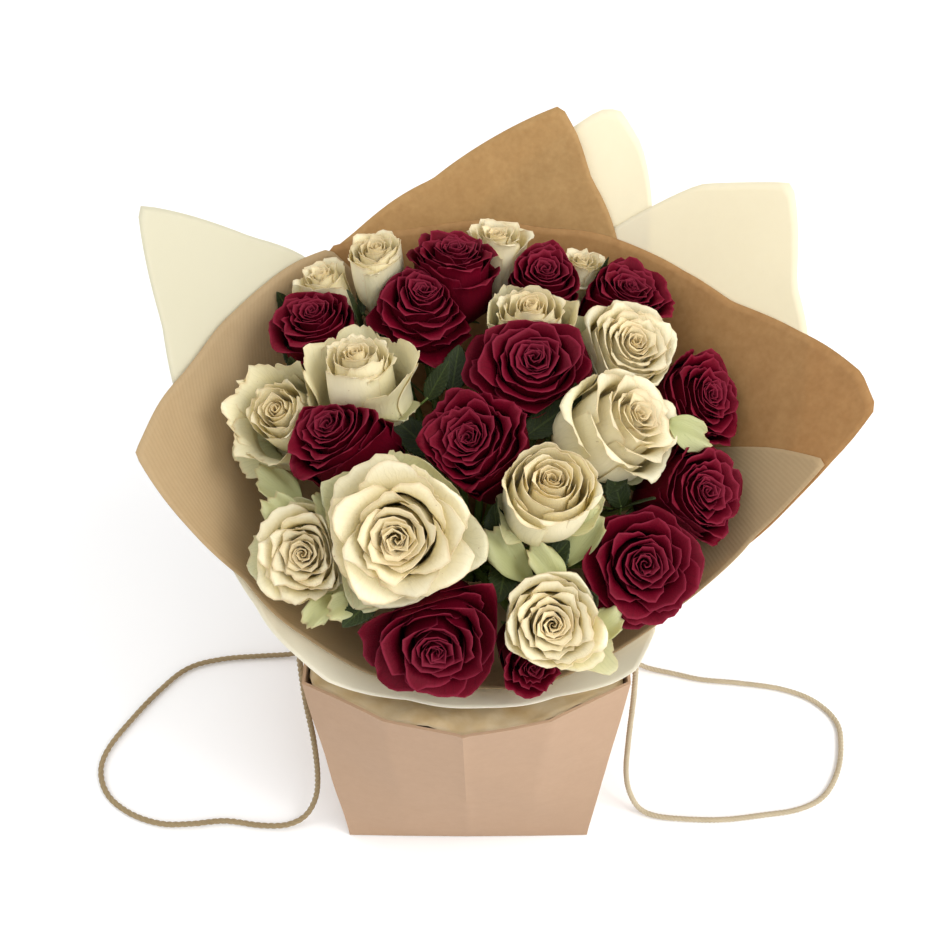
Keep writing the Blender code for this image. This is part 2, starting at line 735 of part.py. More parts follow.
def pouch_centre(height):
    """The pouch stands in the middle of the bag and reaches the neck of the bouquet as it narrows."""
    share = min(max((height - 20) / 130, 0), 1) ** 2
    return np.array([0.0, 4.0]) + share * (NECK[:2] - np.array([0.0, 4.0]) + np.array([0.0, 3.0]))


def pouch_rings(inset):
    """The film's wall from the bag's floor to the frill in the bag's mouth."""
    rings = []
    for radius, height in POUCH_PROFILE:
        lift = inset if height == POUCH_PROFILE[0][1] else 0
        rings.append(level_ring(pouch_centre(height), radius - inset, POUCH_COLUMNS, height + lift))
    neck = funnel_radius(0, FILM_LAYER) + 0.7 + FILM - inset
    rings.append(neck_ring(neck, POUCH_COLUMNS, -BOUND_LENGTH))
    rings.append(neck_ring(neck, POUCH_COLUMNS, 0))
    mouth = bag_ring(FRILL_HEIGHT, FRILL_ROOM + inset)
    frill = []
    for step in range(POUCH_COLUMNS):
        angle = math.radians(AZIMUTH_START + 360 * step / POUCH_COLUMNS)
        frill.append(on_outline(mouth, NECK[:2] - np.array([0.0, 12.0]), angle))
    rings.append(frill)
    return rings


def on_outline(outline, centre, angle):
    """Where a level ray from a centre meets an outline."""
    heading = np.array([math.cos(angle), math.sin(angle)])
    for here, after in zip(outline, outline[1:] + outline[:1]):
        run = after[:2] - here[:2]
        across = heading[0] * run[1] - heading[1] * run[0]
        if abs(across) < 1e-9:
            continue
        away = here[:2] - centre
        far = (away[0] * run[1] - away[1] * run[0]) / across
        share = (away[0] * heading[1] - away[1] * heading[0]) / across
        if far > 0 and 0 <= share <= 1:
            return np.array([*(centre + far * heading), here[2]])
    return None


def water_pouch():
    """Clear film gathered round the stems, closed below and open above the tie."""
    outer = pouch_rings(0)
    inner = pouch_rings(FILM)
    points, faces = skin(outer + inner[::-1], None, None)
    mesh_object("water_pouch", points, faces, "film", 40)


def water():
    """Water in the pouch, with one plain hole that the stems stand in."""
    rings = []
    for radius, height in POUCH_PROFILE:
        if height < WATER_HEIGHT:
            lift = FILM + SEAT_GAP if height == POUCH_PROFILE[0][1] else 0
            centre = pouch_centre(height)
            rings.append(level_ring(centre, radius - FILM - 0.8, POUCH_COLUMNS, height + lift))
    low, high = POUCH_PROFILE[-2], POUCH_PROFILE[-1]
    share = (WATER_HEIGHT - low[1]) / (high[1] - low[1])
    radius = low[0] + share * (high[0] - low[0]) - FILM - 0.8
    brim = pouch_centre(WATER_HEIGHT) - np.array([0, 0.4])
    rings.append(level_ring(brim, radius - 0.6, POUCH_COLUMNS, WATER_HEIGHT))
    hole_top = FOOT_CENTRE[:2] + (WATER_HEIGHT / 140) * (NECK[:2] - FOOT_CENTRE[:2])
    rings.append(level_ring(hole_top, WATER_HOLE_TOP, POUCH_COLUMNS, WATER_HEIGHT))
    floor = POUCH_PROFILE[0][1] + FILM + SEAT_GAP
    rings.append(level_ring(FOOT_CENTRE, WATER_HOLE_FOOT, POUCH_COLUMNS, floor))
    points, faces = skin(rings + [rings[0]], None, None)
    count = POUCH_COLUMNS
    last = len(rings) * count
    faces = [face for face in faces if len(face) == 3]
    merged = [tuple(corner - last if corner >= last else corner for corner in face) for face in faces]
    mesh_object("water", points[:last], merged, "water", 40)


def coil_tie(name, inner_radius, turns, low, high):
    """Turns of twine laid side by side round the neck, as one ridged ring."""
    count = 20
    profile = [(inner_radius, low)]
    pitch = (high - low) / turns
    for turn in range(turns):
        middle = low + pitch * (turn + 0.5)
        profile.append((inner_radius + 0.7, middle - 0.5 * pitch + 0.01))
        profile.append((inner_radius + 2.0, middle))
    profile.append((inner_radius + 0.7, high))
    profile.append((inner_radius, high + 0.01))
    rings = [neck_ring(radius, count, up) for radius, up in profile]
    rings.append(rings[0])
    points, faces = skin(rings, None, None)
    last = (len(rings) - 1) * count
    faces = [face for face in faces if len(face) == 3]
    merged = [tuple(corner - last if corner >= last else corner for corner in face) for face in faces]
    mesh_object(name, points[:last], merged, "twine", 50)


def bag_ring(height, inset):
    """The bag's outline at a height, moved in by a wall thickness."""
    share = height / BAG_HEIGHT
    x = BAG_WIDTH / 2 + BAG_TOP_SPREAD * share
    y = BAG_DEPTH / 2
    bulge = y + GUSSET_FOOT + (GUSSET_BULGE - GUSSET_FOOT) * share
    middle = y + GUSSET_FULLNESS * (bulge - y)
    crease = CREASE_ACROSS * share
    corners = [(-x, -y), (-x / 2, -middle), (crease, -bulge), (x / 2, -middle),
               (x, -y), (x, y), (x / 2, middle), (crease, bulge), (-x / 2, middle), (-x, y)]
    moved = []
    for step, corner in enumerate(corners):
        before, after = np.array(corners[step - 1]), np.array(corners[(step + 1) % len(corners)])
        here = np.array(corner)
        run_in, run_out = unit(here - before), unit(after - here)
        normal_in, normal_out = np.array([-run_in[1], run_in[0]]), np.array([-run_out[1], run_out[0]])
        inward = (normal_in + normal_out) / (1 + normal_in @ normal_out)
        place = here + inset * inward
        moved.append(np.array([place[0], place[1], height]))
    return moved


def bag():
    """Kraft gift bag: gusset creases pushed outwards, a hem turned in at the top, two holes a side."""
    hem_low = BAG_HEIGHT - BAG_HEM_HEIGHT
    rings = [
        bag_ring(0, 0), bag_ring(BAG_HEIGHT, 0), bag_ring(BAG_HEIGHT, BAG_HEM), bag_ring(hem_low, BAG_HEM),
        bag_ring(hem_low - 0.5, BAG_WALL), bag_ring(BAG_FLOOR, BAG_WALL),
    ]
    points, faces = skin(rings, None, None)
    made = mesh_object("gift_bag", points, faces, "bag")
    for side in (-1, 1):
        for end in (-1, 1):
            cutter = hole_cutter(side * (BAG_WIDTH / 2 + 8), end * HANDLE_SPACING / 2)
            cut = made.modifiers.new("handle_hole", "BOOLEAN")
            cut.operation = "DIFFERENCE"
            cut.object = cutter
            cut.solver = "EXACT"


def hole_cutter(x, y):
    count = 10
    rings = []
    for out in (-8, 8):
        ring = []
        for step in range(count):
            angle = 2 * math.pi * step / count
            ring.append(np.array([x + out, y + HANDLE_HOLE / 2 * math.cos(angle),
                                  HANDLE_HEIGHT + HANDLE_HOLE / 2 * math.sin(angle)]))
        rings.append(ring)
    points, faces = skin(rings, None, None)
    cutter = mesh_object(f"cutter_{x}_{y}".replace("-", "m"), points, faces, "bag")
    cutter.hide_render = True
    cutter.display_type = "WIRE"
    return cutter


def smooth_route(route, spacing):
    """Evenly spaced points on a smooth curve through the route's own points."""
    route = [np.array(point, dtype=float) for point in route]
    padded = [2 * route[0] - route[1]] + route + [2 * route[-1] - route[-2]]
    dense = []
    for p0, p1, p2, p3 in zip(padded, padded[1:], padded[2:], padded[3:]):
        for share in np.linspace(0, 1, 12, endpoint=False):
            dense.append(hermite(p1, p2, 0.5 * (p2 - p0), 0.5 * (p3 - p1), share))
    dense.append(route[-1])
    dense = np.array(dense)
    dense[:, 2] = np.maximum(dense[:, 2], ROPE / 2)
    lengths = np.concatenate([[0], np.cumsum(np.linalg.norm(np.diff(dense, axis=0), axis=1))])
    count = round(lengths[-1] / spacing) + 1
    wanted = np.linspace(0, lengths[-1], count)
    return [np.array([np.interp(w, lengths, dense[:, axis]) for axis in range(3)]) for w in wanted]


def rope_handle(name, route, side):
    """A rope from one hole of a side to the other, down to the surface and along it in a loop."""
    points = smooth_route([(side * (BAG_WIDTH / 2 + out), y, z) for out, y, z in route], ROPE_STEP)
    curve = bpy.data.curves.new(name, "CURVE")
    curve.dimensions = "3D"
    curve.bevel_depth = MM * ROPE / 2
    curve.bevel_resolution = 2
    curve.use_fill_caps = True
    line = curve.splines.new("POLY")
    line.points.add(len(points) - 1)
    for target, point in zip(line.points, points):
        target.co = (*[MM * float(value) for value in point], 1.0)
    curve.materials.append(material("rope"))
    made = bpy.data.objects.new(name, curve)
    bpy.context.scene.collection.objects.link(made)


def main():
    clear_scene()
    roses = {name: Rose(name) for name in ROSES}
    build_walls(roses)
    give_slots(roses)
    for rose in roses.values():
        bloom(rose)
    stems(roses)
    paper_sheet("kraft_front", KRAFT_FRONT_EDGE, "kraft")
    paper_sheet("kraft_right", KRAFT_RIGHT_EDGE, "kraft")
    paper_sheet("kraft_back", KRAFT_BACK_EDGE, "kraft")
    paper_sheet("cream_left", CREAM_LEFT_EDGE, "cream_paper")
    paper_sheet("cream_back", CREAM_BACK_EDGE, "cream_paper")
    paper_sheet("cream_right", CREAM_RIGHT_EDGE, "cream_paper")
    bundle = max(np.linalg.norm(rose.slot) for rose in roses.values()) + STEM
    coil_tie("stem_twine", bundle + 0.4, 2, -7, -1)
    coil_tie("outer_tie", funnel_radius(0, FILM_LAYER) + 0.7 + FILM + 0.4, 2, -7.5, -1)
    water_pouch()
    water()
    bag()
    rope_handle("rope_handle_left", ROPE_LEFT_ROUTE, -1)
    rope_handle("rope_handle_right", ROPE_RIGHT_ROUTE, 1)


main()
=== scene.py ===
# %% [markdown]
# # A wrapped rose bouquet in a kraft gift bag
#
# Thirteen deep red and thirteen cream roses are bound into a dome. Kraft paper and cream paper are wrapped
# round them, a clear film pouch under the wrapping holds water for the stems, and the whole bouquet stands
# in a gift bag whose two rope handles lie on the table.
#
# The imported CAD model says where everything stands. This notebook reads it as a fixed frame and builds the
# petals, papers, leaves and ropes over it, in the same place and at the same size.

# %% Load the frame
import math
import random

import bpy
import numpy as np
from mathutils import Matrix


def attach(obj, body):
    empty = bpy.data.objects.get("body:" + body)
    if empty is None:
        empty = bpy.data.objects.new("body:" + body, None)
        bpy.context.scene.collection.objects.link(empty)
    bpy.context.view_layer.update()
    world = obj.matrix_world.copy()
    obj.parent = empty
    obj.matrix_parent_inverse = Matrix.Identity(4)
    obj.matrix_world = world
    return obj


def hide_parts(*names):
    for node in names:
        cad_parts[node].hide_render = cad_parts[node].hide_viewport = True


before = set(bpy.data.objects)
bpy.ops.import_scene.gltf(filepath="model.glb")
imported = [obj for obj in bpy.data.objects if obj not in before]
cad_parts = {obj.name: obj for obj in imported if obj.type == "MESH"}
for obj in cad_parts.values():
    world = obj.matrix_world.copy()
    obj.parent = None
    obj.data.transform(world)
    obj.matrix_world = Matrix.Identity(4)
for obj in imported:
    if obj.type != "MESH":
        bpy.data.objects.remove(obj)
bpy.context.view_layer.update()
MM = 0.001
scene = bpy.context.scene
print("CAD nodes:", len(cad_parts))

# %% [markdown]
# ## Camera
#
# The photograph looks down on the bouquet from the front, so that the dome of roses fills the middle and the
# bag is seen strongly foreshortened. A camera in Blender looks along its own -Z. With no turn at all it would
# look straight down, and turning it by 40 degrees about X lifts its gaze towards the back.

# %% Camera
VIEW_POINT = (4.5 * MM, -408 * MM, 751 * MM)
VIEW_TILT = 40
SENSOR = 36
FOCAL_PIXELS = 1150
FRAME_PIXELS = 950

camera_data = bpy.data.cameras.new("camera")
camera_data.sensor_width = SENSOR
camera_data.lens = SENSOR * FOCAL_PIXELS / FRAME_PIXELS
camera = bpy.data.objects.new("camera", camera_data)
camera.location = VIEW_POINT
camera.rotation_euler = (math.radians(VIEW_TILT), 0, 0)
scene.collection.objects.link(camera)
scene.camera = camera
print("lens", round(camera_data.lens, 2), "mm")

# %% [markdown]
# ## Small helpers for points and skins
#
# Every soft piece here is a grid of points: a petal, a sheet of paper, a leaf. The helpers work in
# millimetres and turn such a grid into a closed thin skin, so that each mesh is a body with an inside,
# as a real petal is. NumPy handles a whole grid at once, which keeps the script fast.

# %% Points and directions
def unit(vector):
    """The same direction with a length of one."""
    return vector / np.linalg.norm(vector)


def ease(low, high, value):
    """A smooth step from 0 at low to 1 at high."""
    share = np.clip((value - low) / (high - low), 0, 1)
    return share * share * (3 - 2 * share)


def combine(parts):
    """Several (points, faces) pairs as one."""
    points, faces, offset = [], [], 0
    for part_points, part_faces in parts:
        part_points = np.asarray(part_points)
        points.append(part_points)
        faces += [tuple(corner + offset for corner in face) for face in part_faces]
        offset += len(part_points)
    return np.vstack(points), faces


print("ease(0, 1, 0.25) =", float(ease(0, 1, 0.25)))

# %% A thin sheet from a grid
def closed_sheet(grid, thickness):
    """Front, back and rim of a thin sheet. The grid has the shape (across, along, 3)."""
    run_across = np.gradient(grid, axis=0)
    run_along = np.gradient(grid, axis=1)
    normal = np.cross(run_across, run_along)
    normal /= np.maximum(np.linalg.norm(normal, axis=2, keepdims=True), 1e-9)
    half = 0.5 * np.broadcast_to(thickness, grid.shape[:2])[..., None] * normal
    points = np.vstack([(grid + half).reshape(-1, 3), (grid - half).reshape(-1, 3)])
    count = grid.shape[0] * grid.shape[1]
    index = np.arange(count).reshape(grid.shape[:2])
    a, b, c, d = index[:-1, :-1], index[1:, :-1], index[1:, 1:], index[:-1, 1:]
    front = np.stack([a, b, c, d], -1).reshape(-1, 4)
    back = np.stack([a, d, c, b], -1).reshape(-1, 4) + count
    edge = np.concatenate([index[:, 0], index[-1, 1:], index[:-1, -1][::-1], index[0, 1:-1][::-1]])
    after = np.roll(edge, -1)
    rim = np.stack([after, edge, edge + count, after + count], -1)
    return points, np.vstack([front, back, rim]).tolist()


flat_square = np.stack(np.meshgrid([0.0, 1.0, 2.0], [0.0, 1.0, 2.0], [0.0], indexing="ij"), -1)[:, :, 0]
print("a sheet of 3 x 3 points has", len(closed_sheet(flat_square, 0.1)[1]), "faces with its back and rim")

# %% A tube along a path, and a skin over closed rings
def path_frames(path):
    """Tangent and two side directions at each point of a path, turned as little as possible."""
    path = np.asarray(path, dtype=float)
    tangents = np.gradient(path, axis=0)
    tangents /= np.linalg.norm(tangents, axis=1, keepdims=True)
    helper = np.array([0.0, 0.0, 1.0]) if abs(tangents[0][2]) < 0.9 else np.array([1.0, 0.0, 0.0])
    side = unit(np.cross(helper, tangents[0]))
    sides = []
    for tangent in tangents:
        side = unit(side - (side @ tangent) * tangent)
        sides.append(side)
    sides = np.array(sides)
    return tangents, sides, np.cross(tangents, sides)


def ring_skin(rings):
    """A closed skin over rings of equal count, with a flat cap at each end."""
    count = len(rings[0])
    faces = []
    for ring in range(len(rings) - 1):
        low, high = ring * count, (ring + 1) * count
        for step in range(count):
            after = (step + 1) % count
            faces.append((low + step, low + after, high + after, high + step))
    faces.append(tuple(reversed(range(count))))
    faces.append(tuple(range((len(rings) - 1) * count, len(rings) * count)))
    return np.vstack(rings), faces


def tube(path, radius, sides_count=8):
    """A capped tube along a path. The radius is one number or one for each point."""
    path = np.asarray(path, dtype=float)
    radii = np.broadcast_to(radius, (len(path),))
    _, sides, others = path_frames(path)
    angles = 2 * math.pi * np.arange(sides_count) / sides_count
    rings = []
    for place, side, other, r in zip(path, sides, others, radii):
        rings.append(place + r * (np.cos(angles)[:, None] * side + np.sin(angles)[:, None] * other))
    return ring_skin(rings)


print("a tube of two rings has", len(tube([(0, 0, 0), (0, 0, 5)], 1.0)[1]), "faces")

# %% [markdown]
# ## Turning points into a piece
#
# A piece needs a mesh, a finish, and a body of the frame to ride on. Values that a material wants to read,
# such as how near a point is to a petal's rim, are stored on the mesh as named attributes, and a flat map of
# each sheet is stored as UV coordinates, so that veins and ribs follow the sheet however it is bent.

# %% Making a piece
def make_piece(name, points, faces, finish, replaced=(), values=None, flat_map=None):
    """A finished, smoothly shaded object from points in millimetres, riding on the frame."""
    mesh = bpy.data.meshes.new(name)
    mesh.from_pydata((np.asarray(points, dtype=float) * MM).tolist(), [], faces)
    for key, column in (values or {}).items():
        attribute = mesh.attributes.new(key, "FLOAT", "POINT")
        attribute.data.foreach_set("value", np.asarray(column, dtype=np.float32))
    if flat_map is not None:
        corners = np.empty(len(mesh.loops), dtype=np.int32)
        mesh.loops.foreach_get("vertex_index", corners)
        layer = mesh.uv_layers.new(name="FlatMap")
        layer.data.foreach_set("uv", np.asarray(flat_map, dtype=np.float32)[corners].ravel())
    mesh.materials.append(finish)
    mesh.shade_smooth()
    piece = bpy.data.objects.new(name, mesh)
    scene.collection.objects.link(piece)
    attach(piece, "root")
    if replaced:
        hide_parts(*replaced)
    return piece


# %% [markdown]
# ## Shared surface effects
#
# Several finishes share the same effects: soft blotches, veins that fan out through a petal or a leaf, and
# the fine ribs of kraft paper. Each effect is a shader node group, made once and placed in each material
# with its own values. The groups give out colours, masks and heights only. The Principled BSDF, which turns
# those into a surface, stays in each material.

# %% A helper for node groups
class GroupMaker:
    """A new node group with named sockets, and short ways to add and join its nodes."""

    def __init__(self, name, inputs, outputs):
        self.tree = bpy.data.node_groups.new(name, "ShaderNodeTree")
        for socket_name, kind, value in inputs:
            socket = self.tree.interface.new_socket(socket_name, in_out="INPUT", socket_type=kind)
            socket.default_value = value
        for socket_name, kind in outputs:
            self.tree.interface.new_socket(socket_name, in_out="OUTPUT", socket_type=kind)
        self.given = self.tree.nodes.new("NodeGroupInput").outputs
        self.wanted = self.tree.nodes.new("NodeGroupOutput").inputs

    def node(self, kind, **settings):
        """Adds one node and sets its own settings."""
        made = self.tree.nodes.new(kind)
        for key, value in settings.items():
            setattr(made, key, value)
        return made

    def give(self, socket, value):
        """Sets an input to a number or a colour, or joins another node's output to it."""
        if isinstance(value, (int, float, tuple)):
            socket.default_value = value
        else:
            self.tree.links.new(value, socket)

    def math(self, operation, first, second=0.0):
        """A Math node. Each value is a number or a socket."""
        made = self.node("ShaderNodeMath", operation=operation)
        for socket, value in zip(made.inputs, (first, second)):
            self.give(socket, value)
        return made.outputs[0]

    def blend(self, factor, first, second):
        """A colour Mix node. Colours are four numbers or sockets."""
        made = self.node("ShaderNodeMix", data_type="RGBA", blend_type="MIX")
        for socket, value in zip((made.inputs[0], made.inputs[6], made.inputs[7]), (factor, first, second)):
            self.give(socket, value)
        return made.outputs[2]

    def noise(self, place, scale, detail=2):
        """Soft random values from 0 to 1 at a place."""
        made = self.node("ShaderNodeTexNoise")
        self.give(made.inputs["Vector"], place)
        self.give(made.inputs["Scale"], scale)
        self.give(made.inputs["Detail"], detail)
        return made.outputs["Fac"]

    def attribute(self, name):
        """A value that is stored on the mesh at each point."""
        return self.node("ShaderNodeAttribute", attribute_name=name).outputs["Fac"]

    def object_place(self):
        """The place in the object's own space, in metres."""
        return self.node("ShaderNodeTexCoord").outputs["Object"]

    def flat_map(self):
        """The place on the flat sheet that the piece is made of."""
        return self.node("ShaderNodeUVMap", uv_map="FlatMap").outputs["UV"]

    def across_and_along(self):
        """The two numbers of the flat map."""
        split = self.node("ShaderNodeSeparateXYZ")
        self.give(split.inputs["Vector"], self.flat_map())
        return split.outputs["X"], split.outputs["Y"]


FLOAT = "NodeSocketFloat"
print("node groups and materials share one maker")

# %% Blotches: large soft patches and fine grain
maker = GroupMaker("Blotches", [("Scale", FLOAT, 30.0), ("Grain", FLOAT, 900.0)],
                   [("Patch", FLOAT), ("Fine", FLOAT)])
place = maker.object_place()
maker.give(maker.wanted["Patch"], maker.noise(place, maker.given["Scale"], detail=4))
maker.give(maker.wanted["Fine"], maker.noise(place, maker.given["Grain"], detail=3))
BLOTCHES = maker.tree
print("made", BLOTCHES.name)

# %% Veins: lines that run out from the foot of a petal and fork on the way
VEIN_WANDER = 0.22
FORK_SPREAD = 0.06
FORK_RATIO = 2.6
FORK_STRENGTH = 0.5


def vein_lines(maker, spread, ratio):
    """Thin bright lines where a sine crosses zero, this many times as close as the group's Count."""
    count = maker.math("MULTIPLY", maker.given["Count"], ratio)
    wave = maker.math("SINE", maker.math("MULTIPLY", maker.math("MULTIPLY", spread, math.pi), count))
    line = maker.math("SUBTRACT", 1.0, maker.math("ABSOLUTE", wave))
    return maker.math("POWER", line, maker.given["Sharpness"])


maker = GroupMaker("Veins", [("Count", FLOAT, 22.0), ("Sharpness", FLOAT, 6.0)], [("Vein", FLOAT)])
across, along = maker.across_and_along()
wander = maker.noise(maker.flat_map(), 3.5, detail=3)
spread = maker.math("ADD", across, maker.math("MULTIPLY", wander, VEIN_WANDER))
fork = maker.math("ADD", spread, maker.math("MULTIPLY", along, FORK_SPREAD))
thin_line = maker.math("MULTIPLY", vein_lines(maker, fork, FORK_RATIO), FORK_STRENGTH)
maker.give(maker.wanted["Vein"], maker.math("MAXIMUM", vein_lines(maker, spread, 1.0), thin_line))
VEINS = maker.tree
print("made", VEINS.name)

# %% Ribs: fine parallel lines pressed into paper, at an angle across the sheet
RIB_WANDER = 6.0

maker = GroupMaker("Ribs", [("Pitch", FLOAT, 3.0), ("Slant", FLOAT, 0.6)], [("Rib", FLOAT)])
across, along = maker.across_and_along()
wander = maker.noise(maker.flat_map(), 0.02)
run = maker.math("ADD", across, maker.math("MULTIPLY", along, maker.given["Slant"]))
run = maker.math("ADD", run, maker.math("MULTIPLY", wander, RIB_WANDER))
turns = maker.math("DIVIDE", maker.math("MULTIPLY", run, 2 * math.pi), maker.given["Pitch"])
rib = maker.math("MULTIPLY", maker.math("ADD", maker.math("SINE", turns), 1.0), 0.5)
maker.give(maker.wanted["Rib"], rib)
RIBS = maker.tree
print("made", RIBS.name)

# %% [markdown]
# ## Finishes
#
# A finish starts as a Principled BSDF. Numbers that are the same all over, such as sheen, are set on the
# shader itself. What changes over the surface comes from the groups above. One small class keeps the
# joining of nodes short.

# %% A helper for materials
class Finish(GroupMaker):
    """A material with a Principled BSDF, and the same short ways to add nodes as a group."""

    def __init__(self, name, roughness, **uniform):
        self.material = bpy.data.materials.new(name)
        self.material.use_nodes = True
        self.tree = self.material.node_tree
        self.shader = self.tree.nodes["Principled BSDF"]
        self.output = self.tree.nodes["Material Output"]
        self.shader.inputs["Roughness"].default_value = roughness
        for key, value in uniform.items():
            self.shader.inputs[key.replace("_", " ")].default_value = value

    def effect(self, tree, **values):
        """Places a shared group and sets its inputs."""
        made = self.node("ShaderNodeGroup")
        made.node_tree = tree
        for key, value in values.items():
            made.inputs[key].default_value = value
        return made.outputs

    def bump(self, height, strength, distance=0.001):
        """Relief from a height, with its full depth in metres."""
        made = self.node("ShaderNodeBump")
        for key, value in (("Strength", strength), ("Distance", distance), ("Height", height)):
            self.give(made.inputs[key], value)
        self.give(self.shader.inputs["Normal"], made.outputs["Normal"])

    def colour(self, value):
        """Sets the surface's colour."""
        self.give(self.shader.inputs["Base Color"], value)

    def between(self, share, low, high):
        """A share from 0 to 1 as a number from low to high."""
        return self.math("ADD", low, self.math("MULTIPLY", share, high - low))

    def glow_through(self, share, colour):
        """Lets light from behind shine through a thin sheet."""
        through = self.node("ShaderNodeBsdfTranslucent")
        self.give(through.inputs["Color"], colour)
        both = self.node("ShaderNodeMixShader")
        for socket, value in zip(both.inputs, (share, self.shader.outputs["BSDF"], through.outputs["BSDF"])):
            self.give(socket, value)
        self.give(self.output.inputs["Surface"], both.outputs["Shader"])


def screen_to_linear(value):
    """One channel from 0 to 255, as the screen shows it, turned into the linear number that Blender uses."""
    share = value / 255
    return ((share + 0.055) / 1.055) ** 2.4 if value > 10 else share / 12.92


def rgb(red, green, blue):
    """A colour from its three channels as the screen shows them."""
    return (*map(screen_to_linear, (red, green, blue)), 1.0)


print("a middle grey is", [round(value, 3) for value in rgb(128, 128, 128)])

# %% [markdown]
# ### Rose petals
#
# A red petal is deep crimson on its face and a little darker in the heart of the flower. Towards its foot it
# is painted nearly black, a painted shade for the folds deep in the bloom. It has a faint velvet sheen and a
# thin lighter rim, a painted highlight where the rolled edge catches the light. A cream petal is thin enough
# to glow, turns warmer towards the heart of the flower, and has small brown flecks and a worn rim. Both read
# the same
# attributes from the mesh: rim, along, depth and tone. The cream finish reads one more, guard, which turns
# the outermost petals green.

# %% Red petals
PETAL_RELIEF = 0.0006


def petal_finish(name, face, foot, heart, vein_colour, vein_share, roughness, **uniform):
    """A petal's colours from its foot to its rim and from the outside of the flower to its heart."""
    finish = Finish(name, roughness, **uniform)
    blotch = finish.effect(BLOTCHES, Scale=60.0, Grain=1500.0)
    vein = finish.effect(VEINS, Count=16.0, Sharpness=5.0)["Vein"]
    colour = finish.blend(finish.math("POWER", finish.attribute("along"), 0.7), foot, face)
    colour = finish.blend(finish.math("POWER", finish.attribute("depth"), 3.0), colour, heart)
    tone = finish.between(finish.attribute("tone"), 0.88, 1.12)
    patch = finish.between(blotch["Patch"], 0.86, 1.14)
    shade = finish.node("ShaderNodeHueSaturation")
    finish.give(shade.inputs["Value"], finish.math("MULTIPLY", tone, patch))
    finish.give(shade.inputs["Color"], colour)
    colour = finish.blend(finish.math("MULTIPLY", vein, vein_share), shade.outputs["Color"], vein_colour)
    return finish, blotch, vein, colour


# The red petals' near-black foot colour is a painted shade for the folds deep in the bloom.
finish, blotch, vein, colour = petal_finish(
    "red_petal", face=rgb(98, 0, 24), foot=rgb(38, 0, 8), heart=rgb(76, 0, 21), vein_colour=rgb(62, 0, 16),
    vein_share=0.35, roughness=0.6, Specular_IOR_Level=0.1, Sheen_Weight=0.02, Sheen_Roughness=0.4,
    Sheen_Tint=rgb(210, 30, 90))
# The thin pinkish rim is a painted highlight where the rolled lips catch the light.
colour = finish.blend(finish.math("MULTIPLY", finish.attribute("rim"), 0.35), colour, rgb(160, 50, 74))
finish.colour(colour)
finish.bump(finish.math("ADD", finish.math("MULTIPLY", vein, 0.5), blotch["Fine"]), 0.25, PETAL_RELIEF)
RED_PETAL = finish.material
print("made", RED_PETAL.name)

# %% Cream petals
FLECKS_ABOVE = 0.735
FLECK_SHARE = 0.45
WORN_SHARE = 0.9

finish, blotch, vein, colour = petal_finish(
    "cream_petal", face=rgb(249, 244, 216), foot=rgb(246, 234, 190), heart=rgb(248, 232, 184),
    vein_colour=rgb(226, 218, 178), vein_share=0.2, roughness=0.5)
leafy = finish.blend(finish.math("MULTIPLY", vein, 0.8), rgb(184, 190, 132), rgb(128, 148, 76))
colour = finish.blend(finish.attribute("guard"), colour, leafy)
fleck = finish.noise(finish.object_place(), 420)
fleck = finish.math("MULTIPLY", finish.math("GREATER_THAN", fleck, FLECKS_ABOVE), FLECK_SHARE)
colour = finish.blend(fleck, colour, rgb(150, 110, 70))
worn = finish.math("MULTIPLY", finish.attribute("rim"), finish.math("MULTIPLY", blotch["Patch"], WORN_SHARE))
colour = finish.blend(worn, colour, rgb(202, 170, 122))
finish.colour(colour)
finish.bump(finish.math("ADD", finish.math("MULTIPLY", vein, 0.8), blotch["Fine"]), 0.3, PETAL_RELIEF)
finish.glow_through(0.3, rgb(255, 240, 186))
CREAM_PETAL = finish.material
print("made", CREAM_PETAL.name)

# %% [markdown]
# ### Stems and leaves
#
# Rose stems are a fresh green with paler patches. The leaves are darker, with a lighter midrib and side
# veins that run out to the teeth of the edge. The flat map of a leaf runs from 0 to 1 across it and along it.

# %% Leaf and stem finishes
finish = Finish("rose_stem", 0.45)
blotch = finish.effect(BLOTCHES, Scale=45.0, Grain=700.0)
finish.colour(finish.blend(blotch["Patch"], rgb(62, 84, 34), rgb(120, 140, 66)))
finish.bump(blotch["Fine"], 0.2)
ROSE_STEM = finish.material

SIDE_VEINS = 8.0
VEIN_SLANT = 5.0
VEIN_SHARPNESS = 7.0
MIDRIB_HALF = 0.035

finish = Finish("rose_leaf", 0.5, Specular_IOR_Level=0.22)
blotch = finish.effect(BLOTCHES, Scale=70.0, Grain=900.0)
across, along = finish.across_and_along()
off_middle = finish.math("ABSOLUTE", finish.math("SUBTRACT", across, 0.5))
slanted = finish.math("MULTIPLY", off_middle, VEIN_SLANT)
rise = finish.math("SUBTRACT", finish.math("MULTIPLY", along, SIDE_VEINS), slanted)
swing = finish.math("ABSOLUTE", finish.math("SINE", finish.math("MULTIPLY", rise, math.pi)))
side_vein = finish.math("POWER", finish.math("SUBTRACT", 1.0, swing), VEIN_SHARPNESS)
rib = finish.math("MAXIMUM", side_vein, finish.math("LESS_THAN", off_middle, MIDRIB_HALF))
colour = finish.blend(blotch["Patch"], rgb(20, 28, 12), rgb(48, 60, 26))
finish.colour(finish.blend(finish.math("MULTIPLY", rib, 0.35), colour, rgb(86, 100, 50)))
finish.bump(finish.math("SUBTRACT", blotch["Fine"], finish.math("MULTIPLY", rib, 1.4)), 0.35)
ROSE_LEAF = finish.material
print("made", ROSE_STEM.name, ROSE_LEAF.name)
